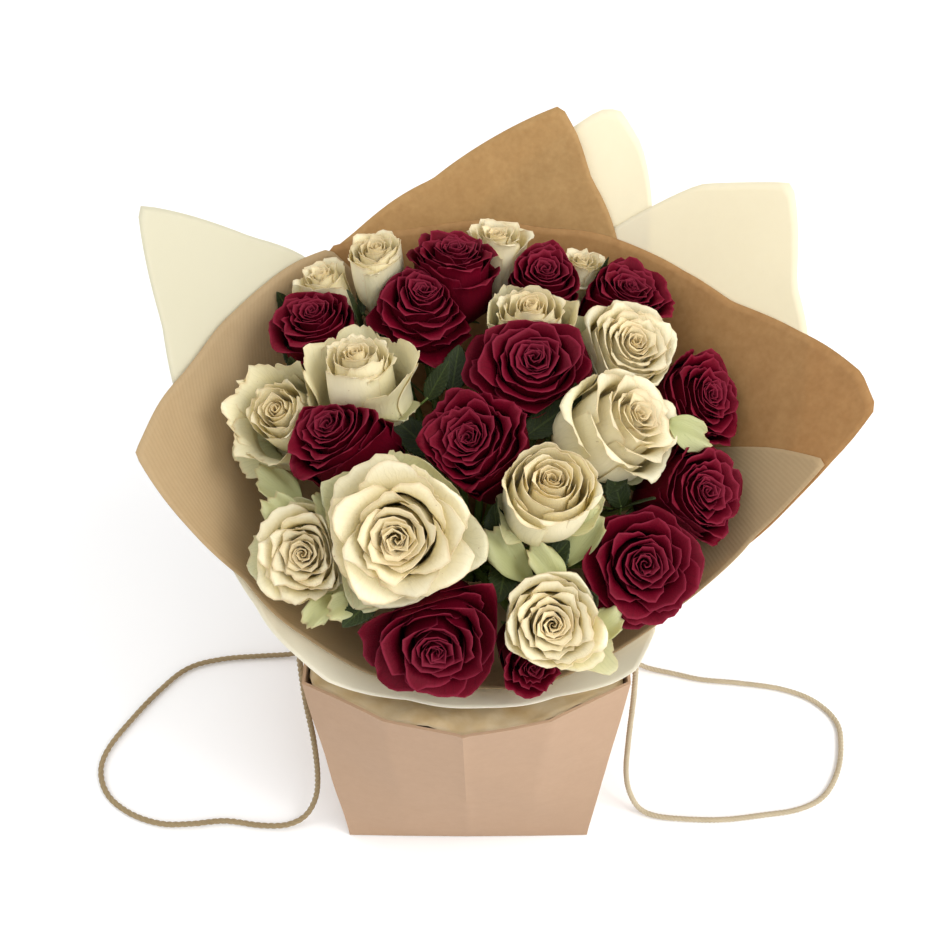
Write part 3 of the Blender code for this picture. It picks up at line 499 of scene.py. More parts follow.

# %% [markdown]
# ### Papers
#
# The roses are wrapped in kraft paper and cream paper. The front kraft sheet is tan with fine ribs pressed
# into it, and the two behind it are smooth and mottled with darker fibre, the last one a little paler. Heavy
# cream paper, almost without texture, lies outside them. Its large left sheet has painted light and shade: it
# is painted a little lighter than the other cream sheets, and a painted shade turns it greyer where its peaks
# stand above the flowers. Light passes through all of them, least through the paper of the bag. One function
# makes these six finishes, since only their colours, shares and ribs differ.

# %% Paper finishes
RIB_PITCH = 1.9
RIB_SLANT = 0.9
BROAD_SHARE = 0.25
PAINTED_SHADE_FROM = 115.0
PAINTED_SHADE_RUN = 30.0


def paper_finish(name, light, dark, patch_share, roughness, glow, through, ribbed=0.0, painted_peak_shade=0.0):
    """A paper's colour, fibre and ribs, and a painted shade that darkens a peak standing above the flowers.
    """
    finish = Finish(name, roughness)
    blotch = finish.effect(BLOTCHES, Scale=110.0, Grain=2600.0)
    broad = finish.effect(BLOTCHES, Scale=14.0, Grain=340.0)
    mask = finish.math("MULTIPLY", finish.math("ADD", blotch["Patch"], broad["Fine"]), patch_share)
    colour = finish.blend(mask, light, dark)
    colour = finish.blend(finish.math("MULTIPLY", broad["Patch"], BROAD_SHARE), colour, dark)
    height = finish.math("MULTIPLY", blotch["Fine"], 0.35)
    if ribbed:
        rib = finish.effect(RIBS, Pitch=RIB_PITCH, Slant=RIB_SLANT)["Rib"]
        colour = finish.blend(finish.math("MULTIPLY", rib, ribbed), colour, dark)
        height = finish.math("ADD", height, finish.math("MULTIPLY", rib, 0.45))
    # Painted shade: from this height up the sheet's flat map, the colour turns towards the dark colour.
    if painted_peak_shade:
        above = finish.math("SUBTRACT", finish.across_and_along()[1], PAINTED_SHADE_FROM)
        above = finish.math("MAXIMUM", finish.math("DIVIDE", above, PAINTED_SHADE_RUN), 0.0)
        above = finish.math("MINIMUM", above, 1.0)
        colour = finish.blend(finish.math("MULTIPLY", above, painted_peak_shade), colour, dark)
    finish.colour(colour)
    finish.bump(height, 0.22, 0.0005)
    finish.glow_through(glow, through)
    return finish.material


RIBBED_KRAFT = paper_finish(
    "ribbed_kraft", light=rgb(196, 172, 132), dark=rgb(160, 130, 90), patch_share=0.22, roughness=0.72,
    glow=0.2, through=rgb(220, 182, 120), ribbed=0.10)
SMOOTH_KRAFT = paper_finish(
    "smooth_kraft", light=rgb(200, 158, 102), dark=rgb(140, 98, 50), patch_share=0.5, roughness=0.74,
    glow=0.22, through=rgb(214, 158, 84))
BACK_KRAFT = paper_finish(
    "back_kraft", light=rgb(208, 172, 116), dark=rgb(148, 110, 60), patch_share=0.5, roughness=0.74,
    glow=0.24, through=rgb(224, 176, 104))
CREAM_PAPER = paper_finish(
    "cream_paper", light=rgb(247, 240, 216), dark=rgb(232, 221, 191), patch_share=0.2, roughness=0.6,
    glow=0.26, through=rgb(252, 242, 204))
# The left cream sheet: the same cream paper, painted lighter as painted light, with a painted shade on its
# peaks.
PAINTED_LIGHT_AND_SHADE_CREAM = paper_finish(
    "shaded_cream", light=rgb(254, 250, 236), dark=rgb(200, 197, 172), patch_share=0.08, roughness=0.6,
    glow=0.42, through=rgb(254, 249, 234), painted_peak_shade=0.8)
BAG_PAPER = paper_finish(
    "bag_paper", light=rgb(182, 150, 121), dark=rgb(153, 121, 93), patch_share=0.25, roughness=0.7,
    glow=0.05, through=rgb(196, 158, 118))
print("made six papers")

# %% [markdown]
# ### Film, water, twine and rope
#
# The film is clear and glossy. Its colour is a painted reflection of the gold kraft round it, with paler
# patches as painted highlights, and it is nearly opaque so that this painted colour shows. Its folds are
# geometry, and a soft bump adds the small waves between them that break up the glints. The water under it is
# clear and still.
# Twine and rope are matt, with fibres that run along each strand.

# %% Film, water, twine and rope finishes
finish = Finish("clear_film", 0.1, Alpha=0.86, IOR=1.5)
blotch = finish.effect(BLOTCHES, Scale=60.0, Grain=260.0)
# Painted reflection and highlights: pale patches and the gold of the kraft, mixed by soft blotches.
finish.colour(finish.blend(blotch["Patch"], rgb(238, 226, 198), rgb(198, 158, 92)))
finish.bump(blotch["Patch"], 0.35, 0.003)
CLEAR_FILM = finish.material

finish = Finish("still_water", 0.04, Transmission_Weight=0.9, IOR=1.333)
blotch = finish.effect(BLOTCHES, Scale=25.0, Grain=90.0)
finish.colour(finish.blend(blotch["Patch"], rgb(222, 236, 232), rgb(206, 226, 220)))
finish.bump(blotch["Patch"], 0.05, 0.002)
STILL_WATER = finish.material

FIBRE_STRETCH = (0.9, 14, 1)
FIBRE_SHARE = 0.7


def strand_finish(name, light, dark):
    """Fibres along a strand: a noise that is long in the direction of the strand."""
    finish = Finish(name, 0.85, Sheen_Weight=0.15)
    stretch = finish.node("ShaderNodeMapping")
    finish.give(stretch.inputs["Scale"], FIBRE_STRETCH)
    finish.give(stretch.inputs["Vector"], finish.flat_map())
    fibre = finish.noise(stretch.outputs["Vector"], 1.2, detail=4)
    blotch = finish.effect(BLOTCHES, Scale=60.0, Grain=1200.0)
    patch = finish.math("MULTIPLY", blotch["Patch"], 1 - FIBRE_SHARE)
    mask = finish.math("ADD", finish.math("MULTIPLY", fibre, FIBRE_SHARE), patch)
    finish.colour(finish.blend(mask, light, dark))
    finish.bump(finish.math("ADD", fibre, blotch["Fine"]), 0.5, 0.0004)
    return finish.material


ROPE_DARK = strand_finish("olive_rope", rgb(176, 156, 118), rgb(112, 92, 58))
ROPE_PALE = strand_finish("pale_rope", rgb(206, 192, 164), rgb(150, 134, 104))
TWINE = strand_finish("jute_twine", rgb(190, 158, 108), rgb(126, 94, 54))
print("made film, water, twine and two ropes")

# %% [markdown]
# ## Rope handles
#
# Each handle is a thin rope that is knotted inside the bag, comes out through a hole, drops to the table,
# lies there in a loop and comes back up to the second hole. The points below are the route that the CAD rope
# follows: the distance out from the bag's side, the place along Y and the height. A rope is three strands
# laid round each other, so three tubes are swept along a helix about that route.

# %% Routes of the two ropes
BAG_WIDTH, BAG_DEPTH, BAG_HEIGHT = 160, 190, 203
ROPE = 4.0
ROPE_LEFT_ROUTE = (
    (3, 35, 186), (9, 35, 186), (15, 35, 183), (19.5, 36, 174), (21, 38, 150), (22, 41, 90), (27, 42, 45),
    (36, 43, 18), (52, 44, 4), (78, 43, 2), (107, 40, 2), (130, 32, 2), (147, 14, 2), (162, -8, 2),
    (175, -32, 2), (177, -50, 2), (168, -68, 2), (150, -81, 2), (128, -88, 2), (107, -88, 2), (85, -86, 2),
    (62, -89, 2), (44, -89, 2), (31, -84, 5), (23, -77, 18), (20, -70, 38), (20, -61, 70), (22, -52, 110),
    (22, -43, 150), (20, -37, 173), (15, -35, 183), (9, -35, 186), (3, -35, 186),
)
ROPE_RIGHT_ROUTE = (
    (3, 35, 186), (9, 35, 186), (15, 35, 183), (19.5, 36, 174), (21, 37, 150), (22, 38, 90), (27, 38, 45),
    (35, 36, 18), (50, 33, 4), (72, 28, 2), (92, 23, 2), (120, 20, 2), (150, 15, 2), (172, 5, 2),
    (185, -12, 2), (184, -32, 2), (177, -52, 2), (164, -69, 2), (145, -78, 2), (120, -82, 2), (95, -85, 2),
    (73, -85, 2), (50, -83, 2), (37, -79, 5), (29, -73, 18), (25, -67, 38), (24, -60, 70), (24, -50, 112),
    (22, -43, 150), (20, -37, 173), (15, -35, 183), (9, -35, 186), (3, -35, 186),
)


def hermite(share, start, leaving, end, arriving):
    """A point on a smooth curve that leaves its start and arrives at its end with given runs."""
    from_start = 2 * share ** 3 - 3 * share ** 2 + 1
    from_leaving = share ** 3 - 2 * share ** 2 + share
    from_end = 3 * share ** 2 - 2 * share ** 3
    from_arriving = share ** 3 - share ** 2
    return from_start * start + from_leaving * leaving + from_end * end + from_arriving * arriving


def smooth_route(route, spacing, lowest):
    """Evenly spaced points on a smooth curve through the route's own points, none below the lowest height."""
    route = [np.array(point, dtype=float) for point in route]
    padded = [2 * route[0] - route[1]] + route + [2 * route[-1] - route[-2]]
    dense = []
    for before, start, end, after in zip(padded, padded[1:], padded[2:], padded[3:]):
        for share in np.linspace(0, 1, 12, endpoint=False):
            dense.append(hermite(share, start, 0.5 * (end - before), end, 0.5 * (after - start)))
    dense.append(route[-1])
    dense = np.array(dense)
    dense[:, 2] = np.maximum(dense[:, 2], lowest)
    lengths = np.concatenate([[0], np.cumsum(np.linalg.norm(np.diff(dense, axis=0), axis=1))])
    wanted = np.linspace(0, lengths[-1], round(lengths[-1] / spacing) + 1)
    return np.stack([np.interp(wanted, lengths, dense[:, axis]) for axis in range(3)], 1)


print("points on the two routes:", len(ROPE_LEFT_ROUTE), "and", len(ROPE_RIGHT_ROUTE))

# %% Laying strands round a path
FIBRES_PER_MM = 0.1


def laid_strands(path, strands, strand_radius, lay_radius, pitch, sides_count=7):
    """Tubes on helices about a path, as one set of points, with a flat map for the fibres."""
    _, sides, others = path_frames(path)
    steps = np.linalg.norm(np.diff(path, axis=0), axis=1)
    run = np.concatenate([[0], np.cumsum(steps)])
    parts, maps = [], []
    for strand in range(strands):
        turn = 2 * math.pi * (run / pitch + strand / strands)
        offset = np.cos(turn)[:, None] * sides + np.sin(turn)[:, None] * others
        parts.append(tube(path + lay_radius * offset, strand_radius, sides_count))
        round_it = np.tile(np.arange(sides_count) / sides_count, len(path))
        maps.append(np.stack([np.repeat(run, sides_count) * FIBRES_PER_MM, round_it + strand], 1))
    points, faces = combine(parts)
    return points, faces, np.vstack(maps)


def knot_path(centre, size, turn):
    """A trefoil, the path of a simple overhand knot."""
    t = np.linspace(0, 2 * math.pi, 60)
    x, y, z = np.sin(t) + 2 * np.sin(2 * t), np.cos(t) - 2 * np.cos(2 * t), -np.sin(3 * t)
    c, s = math.cos(turn), math.sin(turn)
    return np.array(centre) + size * np.stack([z, c * x - s * y, s * x + c * y], 1)


print("a knot of size 1 is", round(float(np.ptp(knot_path((0, 0, 0), 1, 0)[:, 1])), 1), "mm wide")

# %% The two ropes and their knots
POINT_SPACING = 1.5
KNOT_BEHIND = 4.0
KNOT_SIZE = 1.7
KNOT_STRAND = 1.75
KNOT_SIDES = 8
KNOT_TURNS = (0.4, 1.3)


def rope_knots(centre, side):
    """A knot behind each end of the rope, and a flat map for its fibres."""
    knots = []
    for end, turn in zip((centre[0], centre[-1]), KNOT_TURNS):
        middle = end - np.array([side * KNOT_BEHIND, 0, 0])
        knots.append(tube(knot_path(middle, KNOT_SIZE, turn), KNOT_STRAND, KNOT_SIDES))
    points, faces = combine(knots)
    number = np.arange(len(points))
    return points, faces, np.stack([number // KNOT_SIDES * 0.12, number % KNOT_SIDES / KNOT_SIDES], 1)


def make_rope(side_name, route, side, finish, pitch, lay_radius, strand_radius):
    """Three laid strands from hole to hole, with a knot at each end inside the bag."""
    places = [(side * (BAG_WIDTH / 2 + out), y, z) for out, y, z in route]
    centre = smooth_route(places, POINT_SPACING, ROPE / 2)
    points, faces, flat_map = laid_strands(centre, 3, strand_radius, lay_radius, pitch)
    rope = make_piece(f"rope_{side_name}", points, faces, finish, [f"rope_handle_{side_name}"],
                      flat_map=flat_map)
    points, faces, flat_map = rope_knots(centre, side)
    knot = make_piece(f"rope_{side_name}_knots", points, faces, finish, flat_map=flat_map)


make_rope("left", ROPE_LEFT_ROUTE, -1, ROPE_DARK, pitch=13.0, lay_radius=0.92, strand_radius=1.08)
make_rope("right", ROPE_RIGHT_ROUTE, 1, ROPE_PALE, pitch=8.0, lay_radius=0.95, strand_radius=1.05)

# %% [markdown]
# ## Gift bag
#
# The bag is one folded sheet of heavy kraft. Its two wide gussets face front and back, pushed outwards by
# the pouch inside, so each has a sharp crease down its middle. Modelled as a lofted outline, it gets the
# creases from the outline's corners, and small bumps and a fold line come from moving the points a little.

# %% Outline of the bag at a height
BAG_TOP_SPREAD = 9
GUSSET_BULGE, GUSSET_FOOT, GUSSET_FULLNESS = 32, 1, 0.72
CREASE_ACROSS = -2
BAG_WALL, BAG_HEM, BAG_HEM_HEIGHT, BAG_FLOOR = 0.8, 1.6, 38, 1.2
HANDLE_SPACING, HANDLE_HEIGHT, HANDLE_HOLE = 70, 186, 6


def bag_outline(height, inset):
    """Ten corners of the bag's outline, moved in by a wall thickness."""
    share = height / BAG_HEIGHT
    x = BAG_WIDTH / 2 + BAG_TOP_SPREAD * share
    y = BAG_DEPTH / 2
    bulge = y + GUSSET_FOOT + (GUSSET_BULGE - GUSSET_FOOT) * share
    middle = y + GUSSET_FULLNESS * (bulge - y)
    crease = CREASE_ACROSS * share
    corners = np.array([(-x, -y), (-x / 2, -middle), (crease, -bulge), (x / 2, -middle), (x, -y),
                        (x, y), (x / 2, middle), (crease, bulge), (-x / 2, middle), (-x, y)])
    run_in = corners - np.roll(corners, 1, axis=0)
    run_out = np.roll(corners, -1, axis=0) - corners
    normals = []
    for run in (run_in, run_out):
        run = run / np.linalg.norm(run, axis=1, keepdims=True)
        normals.append(np.stack([-run[:, 1], run[:, 0]], 1))
    both = (normals[0] * normals[1]).sum(axis=1, keepdims=True)
    return corners + inset * (normals[0] + normals[1]) / (1 + both)


print("bag outline has", len(bag_outline(0, 0)), "corners")

# %% Rings of the bag, with its creases and gentle dents
PANEL_STEPS = 14
FOLD_RIDGE, FOLD_WIDTH = 0.45, 2.2
CREASE_RIDGE, CREASE_WIDTH = 0.5, 1.6


def bag_ring(height, inset):
    """The outline with many points a side, dented a little where the paper was handled."""
    corners = bag_outline(height, inset)
    ring = []
    for number, corner in enumerate(corners):
        after = corners[(number + 1) % len(corners)]
        for step in range(PANEL_STEPS):
            ring.append(corner + (after - corner) * step / PANEL_STEPS)
    ring = np.array(ring)
    run = np.roll(ring, -1, axis=0) - np.roll(ring, 1, axis=0)
    outward = np.stack([run[:, 1], -run[:, 0]], 1)
    outward /= np.linalg.norm(outward, axis=1, keepdims=True)
    x, y = ring[:, 0], ring[:, 1]
    dents = 0.5 * np.sin(0.043 * x + 0.031 * height + 0.8) * np.sin(0.036 * height + 0.05 * y)
    dents += 0.22 * np.sin(0.11 * x + 0.07 * height + 0.02 * y)
    on_gusset = np.abs(y) > BAG_DEPTH / 2
    fold = BAG_WIDTH / 2 - np.abs(x)
    dents += np.where(on_gusset, FOLD_RIDGE * np.exp(-((height - fold) / FOLD_WIDTH) ** 2), 0)
    crease = CREASE_ACROSS * height / BAG_HEIGHT
    dents += np.where(on_gusset, CREASE_RIDGE * np.exp(-((x - crease) / CREASE_WIDTH) ** 2), 0)
    moved = ring + (dents * ease(0, 12, height))[:, None] * outward
    return np.column_stack([moved, np.full(len(moved), float(height))])


print("bag ring has", len(bag_ring(BAG_HEIGHT, 0)), "points")

# %% The bag as one closed skin
OUTER_ROWS, HEM_ROWS, INNER_ROWS = 38, 8, 14
SHARP_FROM = 28

hem_low = BAG_HEIGHT - BAG_HEM_HEIGHT
outer = [bag_ring(height, 0) for height in np.linspace(0, BAG_HEIGHT, OUTER_ROWS)]
hem = [bag_ring(height, BAG_HEM) for height in np.linspace(BAG_HEIGHT, hem_low, HEM_ROWS)]
inner = [bag_ring(height, BAG_WALL) for height in np.linspace(hem_low - 0.5, BAG_FLOOR, INNER_ROWS)]
points, faces = ring_skin(outer + hem + inner)
bag = make_piece("bag", points, faces, BAG_PAPER, ["gift_bag"])
bag.data.set_sharp_from_angle(angle=math.radians(SHARP_FROM))
print("bag faces before its holes:", len(faces))

# %% Four holes for the ropes
HOLE_SIDES = 24
HOLE_REACH = 8


def hole_cutter(side, end):
    """A plug that stands through the bag's side where a rope comes out."""
    angles = 2 * math.pi * np.arange(HOLE_SIDES) / HOLE_SIDES
    rings = []
    for out in (-HOLE_REACH, HOLE_REACH):
        x = np.full(HOLE_SIDES, side * (BAG_WIDTH / 2 + HOLE_REACH) + out)
        y = end * HANDLE_SPACING / 2 + HANDLE_HOLE / 2 * np.cos(angles)
        z = HANDLE_HEIGHT + HANDLE_HOLE / 2 * np.sin(angles)
        rings.append(np.stack([x, y, z], 1))
    points, faces = ring_skin(rings)
    mesh = bpy.data.meshes.new("hole")
    mesh.from_pydata((points * MM).tolist(), [], faces)
    made = bpy.data.objects.new("hole", mesh)
    scene.collection.objects.link(made)
    return made


cutters = [hole_cutter(side, end) for side in (-1, 1) for end in (-1, 1)]
for cutter in cutters:
    cut = bag.modifiers.new("rope_hole", "BOOLEAN")
    cut.operation, cut.solver, cut.object = "DIFFERENCE", "EXACT", cutter
bpy.context.view_layer.update()
depsgraph = bpy.context.evaluated_depsgraph_get()
cut_mesh = bpy.data.meshes.new_from_object(bag.evaluated_get(depsgraph))
bag.modifiers.clear()
bag.data = cut_mesh
for cutter in cutters:
    bpy.data.objects.remove(cutter)
print("bag faces:", len(bag.data.polygons))

# %% [markdown]
# ## The bouquet's own frame
#
# The bouquet leans back in the bag. Its neck is where the stems are bound, and every rose, leaf and paper is
# placed by three numbers from there: across, back, and up along the leaning axis. The papers form a funnel
# round that axis, each on its own layer.

# %% Neck, lean and funnel
NECK = np.array([4.0, 30.0, 150.0])
LEAN = math.radians(16)
ACROSS = np.array([1.0, 0.0, 0.0])
BACK = np.array([0.0, math.cos(LEAN), math.sin(LEAN)])
UP = np.array([0.0, -math.sin(LEAN), math.cos(LEAN)])
FUNNEL_NECK, FUNNEL_SLOPE, PAPER_PITCH = 24.0, 0.9, 1.3
AZIMUTH_START, AZIMUTH_STEP = 2, 6


def bouquet_point(across, back, up):
    """Places in the bouquet's own frame, as numbers or grids, turned into points."""
    across, back, up = np.broadcast_arrays(across, back, up)
    return NECK + across[..., None] * ACROSS + back[..., None] * BACK + up[..., None] * UP


def funnel_radius(height, layer=0):
    """Radius of a layer of the funnel at a height above the neck."""
    return FUNNEL_NECK + PAPER_PITCH * layer + FUNNEL_SLOPE * np.maximum(height, 0)


def funnel_panel(azimuth):
    """The CAD funnel is made of flat panels: which way one faces, its outward slant, and a point on it."""
    angle, slant = math.radians(azimuth), math.atan(FUNNEL_SLOPE)
    outward = math.cos(angle) * ACROSS + math.sin(angle) * BACK
    normal = math.cos(slant) * outward - math.sin(slant) * UP
    flat = FUNNEL_NECK * math.cos(math.radians(AZIMUTH_STEP / 2))
    return outward, normal, NECK + flat * outward


print("funnel radius at 100 mm:", funnel_radius(100.0))

# %% [markdown]
# ## Wrapping papers
#
# A wrapping paper starts flat. Rolled round the stems it becomes part of a cone, and its straight edges
# turn into the peaks that stand up round the flowers. Each edge below is a list of azimuths round the funnel
# (0 is right, 90 is back, -90 is front) and heights up it. All sheets share one set of soft waves, so that
# they lie on each other without crossing, and only the free peaks curl on their own.

# %% Edges of the six sheets
PAPER_EDGES = {
    "kraft_front": (
        (8, 120), (2, 148), (-4, 171), (-16, 140), (-34, 117), (-58, 103), (-94, 95), (-112, 103),
        (-136, 111), (-154, 122), (-166, 143), (-178, 166), (-196, 156), (-214, 150), (-238, 147),
        (-244, 120)),
    "kraft_right": (
        (128, 120), (122, 147), (104, 143), (74, 144), (44, 153), (32, 160), (20, 173), (8, 190),
        (2, 192), (-4, 171), (-16, 140), (-28, 110)),
    "kraft_back": (
        (134, 118), (128, 140), (116, 148), (98, 162), (86, 180), (80, 189), (76, 195), (72, 184),
        (68, 168), (56, 140), (50, 120)),
    "cream_left": (
        (122, 125), (128, 148), (134, 164), (146, 206), (158, 170), (170, 145), (194, 124), (212, 117),
        (236, 118), (254, 105), (272, 104), (290, 105), (302, 115), (308, 118), (320, 108), (326, 90)),
    "cream_back": ((92, 140), (80, 168), (70, 193), (67, 195), (62, 184), (56, 165), (50, 140)),
    "cream_right": (
        (68, 120), (62, 147), (56, 165), (50, 185), (38, 209), (26, 184), (14, 170), (2, 158), (-4, 140)),
}
PAPER_LAYER = {"kraft_front": 0, "kraft_right": 1, "kraft_back": 2, "cream_right": 3, "cream_left": 4,
               "cream_back": 4}
PAPER_FINISH = {"kraft_front": RIBBED_KRAFT, "kraft_right": SMOOTH_KRAFT, "kraft_back": BACK_KRAFT,
                "cream_right": CREAM_PAPER, "cream_left": PAINTED_LIGHT_AND_SHADE_CREAM, "cream_back": CREAM_PAPER}
PAPER_TAIL = 8.0
PAPER_THICK = 0.4


def edge_height(edge, azimuths):
    """The edge's height at each azimuth, with its corners slightly rounded."""
    known, heights = zip(*sorted(edge))
    spread = (-0.5, 0.0, 0.5)
    return np.mean([np.interp(azimuths + move, known, heights) for move in spread], axis=0)


def shared_wave(azimuth, height):
    """Soft waves that all sheets share: still at the neck, small round the flowers, larger above them."""
    angle = np.radians(azimuth)
    size = 0.9 * ease(10, 90, height) + 2.6 * ease(110, 190, height)
    wave = np.sin(5 * angle + 0.6 + 0.012 * height) + 0.6 * np.sin(9 * angle + 2.1 - 0.02 * height)
    return size * (0.55 * wave + 0.25 * np.sin(17 * angle + 0.05 * height))


print("sheets:", ", ".join(PAPER_EDGES))

# %% A sheet of paper on the funnel
AZIMUTH_FINE = 1.4
PAPER_ROWS = 44
PAPER_STANDOFF = 0.45
PEAK_CURL = 4.0
FLAT_RADIUS = 90


def paper_sheet(name):
    """A sheet from the neck to its edge, with the peaks curled, and the piece for its CAD node."""
    edge, layer = PAPER_EDGES[name], PAPER_LAYER[name]
    low, high = min(edge)[0], max(edge)[0]
    azimuths = np.linspace(low, high, round((high - low) / AZIMUTH_FINE) + 1)
    tops = edge_height(edge, azimuths)
    share = np.linspace(0, 1, PAPER_ROWS) ** 0.9
    height = -PAPER_TAIL + share[None, :] * (tops[:, None] + PAPER_TAIL)
    azimuth = np.broadcast_to(azimuths[:, None], height.shape)
    angle = np.radians(azimuth)
    radius = funnel_radius(height, layer) + PAPER_STANDOFF + shared_wave(azimuth, height)
    radius = radius + ease(150, 215, height) * PEAK_CURL * np.sin(angle * 3 + layer)
    grid = bouquet_point(radius * np.cos(angle), radius * np.sin(angle), height)
    points, faces = closed_sheet(grid, PAPER_THICK)
    arc = np.radians(azimuth - low) * FLAT_RADIUS
    flat_map = np.tile(np.stack([arc, height], -1).reshape(-1, 2), (2, 1))
    make_piece(f"{name}_paper", points, faces, PAPER_FINISH[name], [name], flat_map=flat_map)
    print(name, "paper:", len(faces), "faces")


for name in PAPER_EDGES:
    paper_sheet(name)

# %% [markdown]
# ## Film pouch, frill and ties
#
# Florists gather clear film round the stems, fill it with water and tie it at the neck. Above the tie the
# film opens into a frill that fills the mouth of the bag. It could be one smooth funnel, but gathered film
# lies in folds, so rings are lofted from the pouch's floor to the frill, and pointed waves that cross each
# other are added to them. The shading stays smooth, which keeps the folds soft. Two ties of twine hold the
# bouquet.

# %% Outline of the film pouch
POUCH_PROFILE = ((60, 2, 0.0), (68, 14, 1.2), (72, 45, 1.2), (68, 80, 1.2), (50, 112, 1.2))
POUCH_FOOT = np.array([0.0, 4.0])
POUCH_SHIFT = np.array([0.0, 3.0])
BOUND_LENGTH = 10
FILM, FILM_LAYER, FILM_STANDOFF = 0.85, 5, 0.7
FRILL_HEIGHT = 196
FRILL_ROOM = 3
FRILL_SHIFT = np.array([0.0, 12.0])
NECK_FOLD, FRILL_FOLD = 0.5, 2.6
FILM_COLUMNS = 180
FILM_ROWS = 64


def pouch_centre(height):
    """Middle of the pouch at a height: over its foot below, near the neck above."""
    share = min(max((height - 20) / 130, 0), 1) ** 2
    return POUCH_FOOT + share * (NECK[:2] - POUCH_FOOT + POUCH_SHIFT)


def on_outline(corners, centre, angles):
    """Where level rays from a centre meet the outline of the bag's mouth."""
    headings = np.stack([np.cos(angles), np.sin(angles)], 1)[:, None]
    start = (corners - centre)[None]
    run = np.roll(corners, -1, axis=0)[None] - corners[None]
    cross = headings[..., 0] * run[..., 1] - headings[..., 1] * run[..., 0]
    far = (start[..., 0] * run[..., 1] - start[..., 1] * run[..., 0]) / cross
    share = (start[..., 0] * headings[..., 1] - start[..., 1] * headings[..., 0]) / cross
    met = np.where((far > 0) & (share >= 0) & (share <= 1), far, np.inf).min(axis=1)
    return centre + met[:, None] * headings[:, 0]


def level_ring(places, height):
    """Points of a ring from their level places and its height."""
    return np.column_stack([places, np.full(len(places), float(height))])


def film_rings(angles):
    """Rings from the floor of the pouch to the frill, and how deeply each is folded."""
    headings = np.stack([np.cos(angles), np.sin(angles)], 1)
    rings, folds = [], []
    for radius, height, fold in POUCH_PROFILE:
        rings.append(level_ring(pouch_centre(height) + radius * headings, height))
        folds.append(fold)
    neck = FUNNEL_NECK + PAPER_PITCH * FILM_LAYER + FILM_STANDOFF + FILM
    for up in (-BOUND_LENGTH, 0.0):
        rings.append(bouquet_point(neck * np.cos(angles), neck * np.sin(angles), up))
        folds.append(NECK_FOLD)
    mouth = on_outline(bag_outline(FRILL_HEIGHT, FRILL_ROOM), NECK[:2] - FRILL_SHIFT, angles)
    return rings + [level_ring(mouth, FRILL_HEIGHT)], folds + [FRILL_FOLD]


print("the pouch stands round", pouch_centre(0), "and its neck round", pouch_centre(150))

# %% Folds of the film
FOLD_LIFT = 0.4
FRILL_LIFT = np.array([0, 0, 1.6])
FILM_THICK = 0.25


def sharp_wave(value):
    """A wave with pointed tops, like a row of small folds."""
    return 2 * np.abs(((value / (2 * math.pi)) % 1) - 0.5) * 2 - 1


def crinkles(phase, run):
    """Folds up the film, round it and at a slant, from the angle and the way up from the floor."""
    waves = 0.5 * sharp_wave(11 * phase + 0.05 * run) + 0.3 * sharp_wave(23 * phase - 0.09 * run + 1.0)
    return waves + 0.4 * sharp_wave(0.3 * run + 3 * phase) + 0.4 * sharp_wave(41 * phase + 0.5 * run)


def film_grid():
    """The film as a grid of columns and rows. Folds go outwards below and upwards in the open frill."""
    angles = 2 * math.pi * np.arange(FILM_COLUMNS) / FILM_COLUMNS
    rings, folds = film_rings(angles)
    steps = [np.linalg.norm(upper - lower, axis=1).mean() for lower, upper in zip(rings, rings[1:])]
    known = np.concatenate([[0], np.cumsum(steps)])
    run = np.linspace(0, known[-1], FILM_ROWS)
    stack = np.array(rings)
    grid = np.empty((FILM_COLUMNS, FILM_ROWS, 3))
    for column in range(FILM_COLUMNS):
        for axis in range(3):
            grid[column, :, axis] = np.interp(run, known, stack[:, column, axis])
    outward = grid - np.mean(grid, axis=0, keepdims=True)
    outward[..., 2] = 0
    outward /= np.linalg.norm(outward, axis=2, keepdims=True)
    opened = ease(NECK[2] + 10, FRILL_HEIGHT, grid[..., 2])[..., None]
    lift = (1 - opened) * outward + opened * FRILL_LIFT
    depth = np.interp(run, known, folds)[None, :] * (crinkles(angles[:, None], run[None, :]) + FOLD_LIFT)
    grid = grid + depth[..., None] * lift
    return np.concatenate([grid, grid[:1]], axis=0)


points, faces = closed_sheet(film_grid(), FILM_THICK)
make_piece("film_pouch", points, faces, CLEAR_FILM, ["water_pouch"])
print("film faces:", len(faces))

# %% Water in the pouch
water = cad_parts["water"]
water.data.materials.clear()
water.data.materials.append(STILL_WATER)
print("water keeps its CAD shape")

# %% Twine round the stems and round the papers
TIE_TURNS = 3
TIE_WOBBLE = 0.03
TIE_START = 0.9


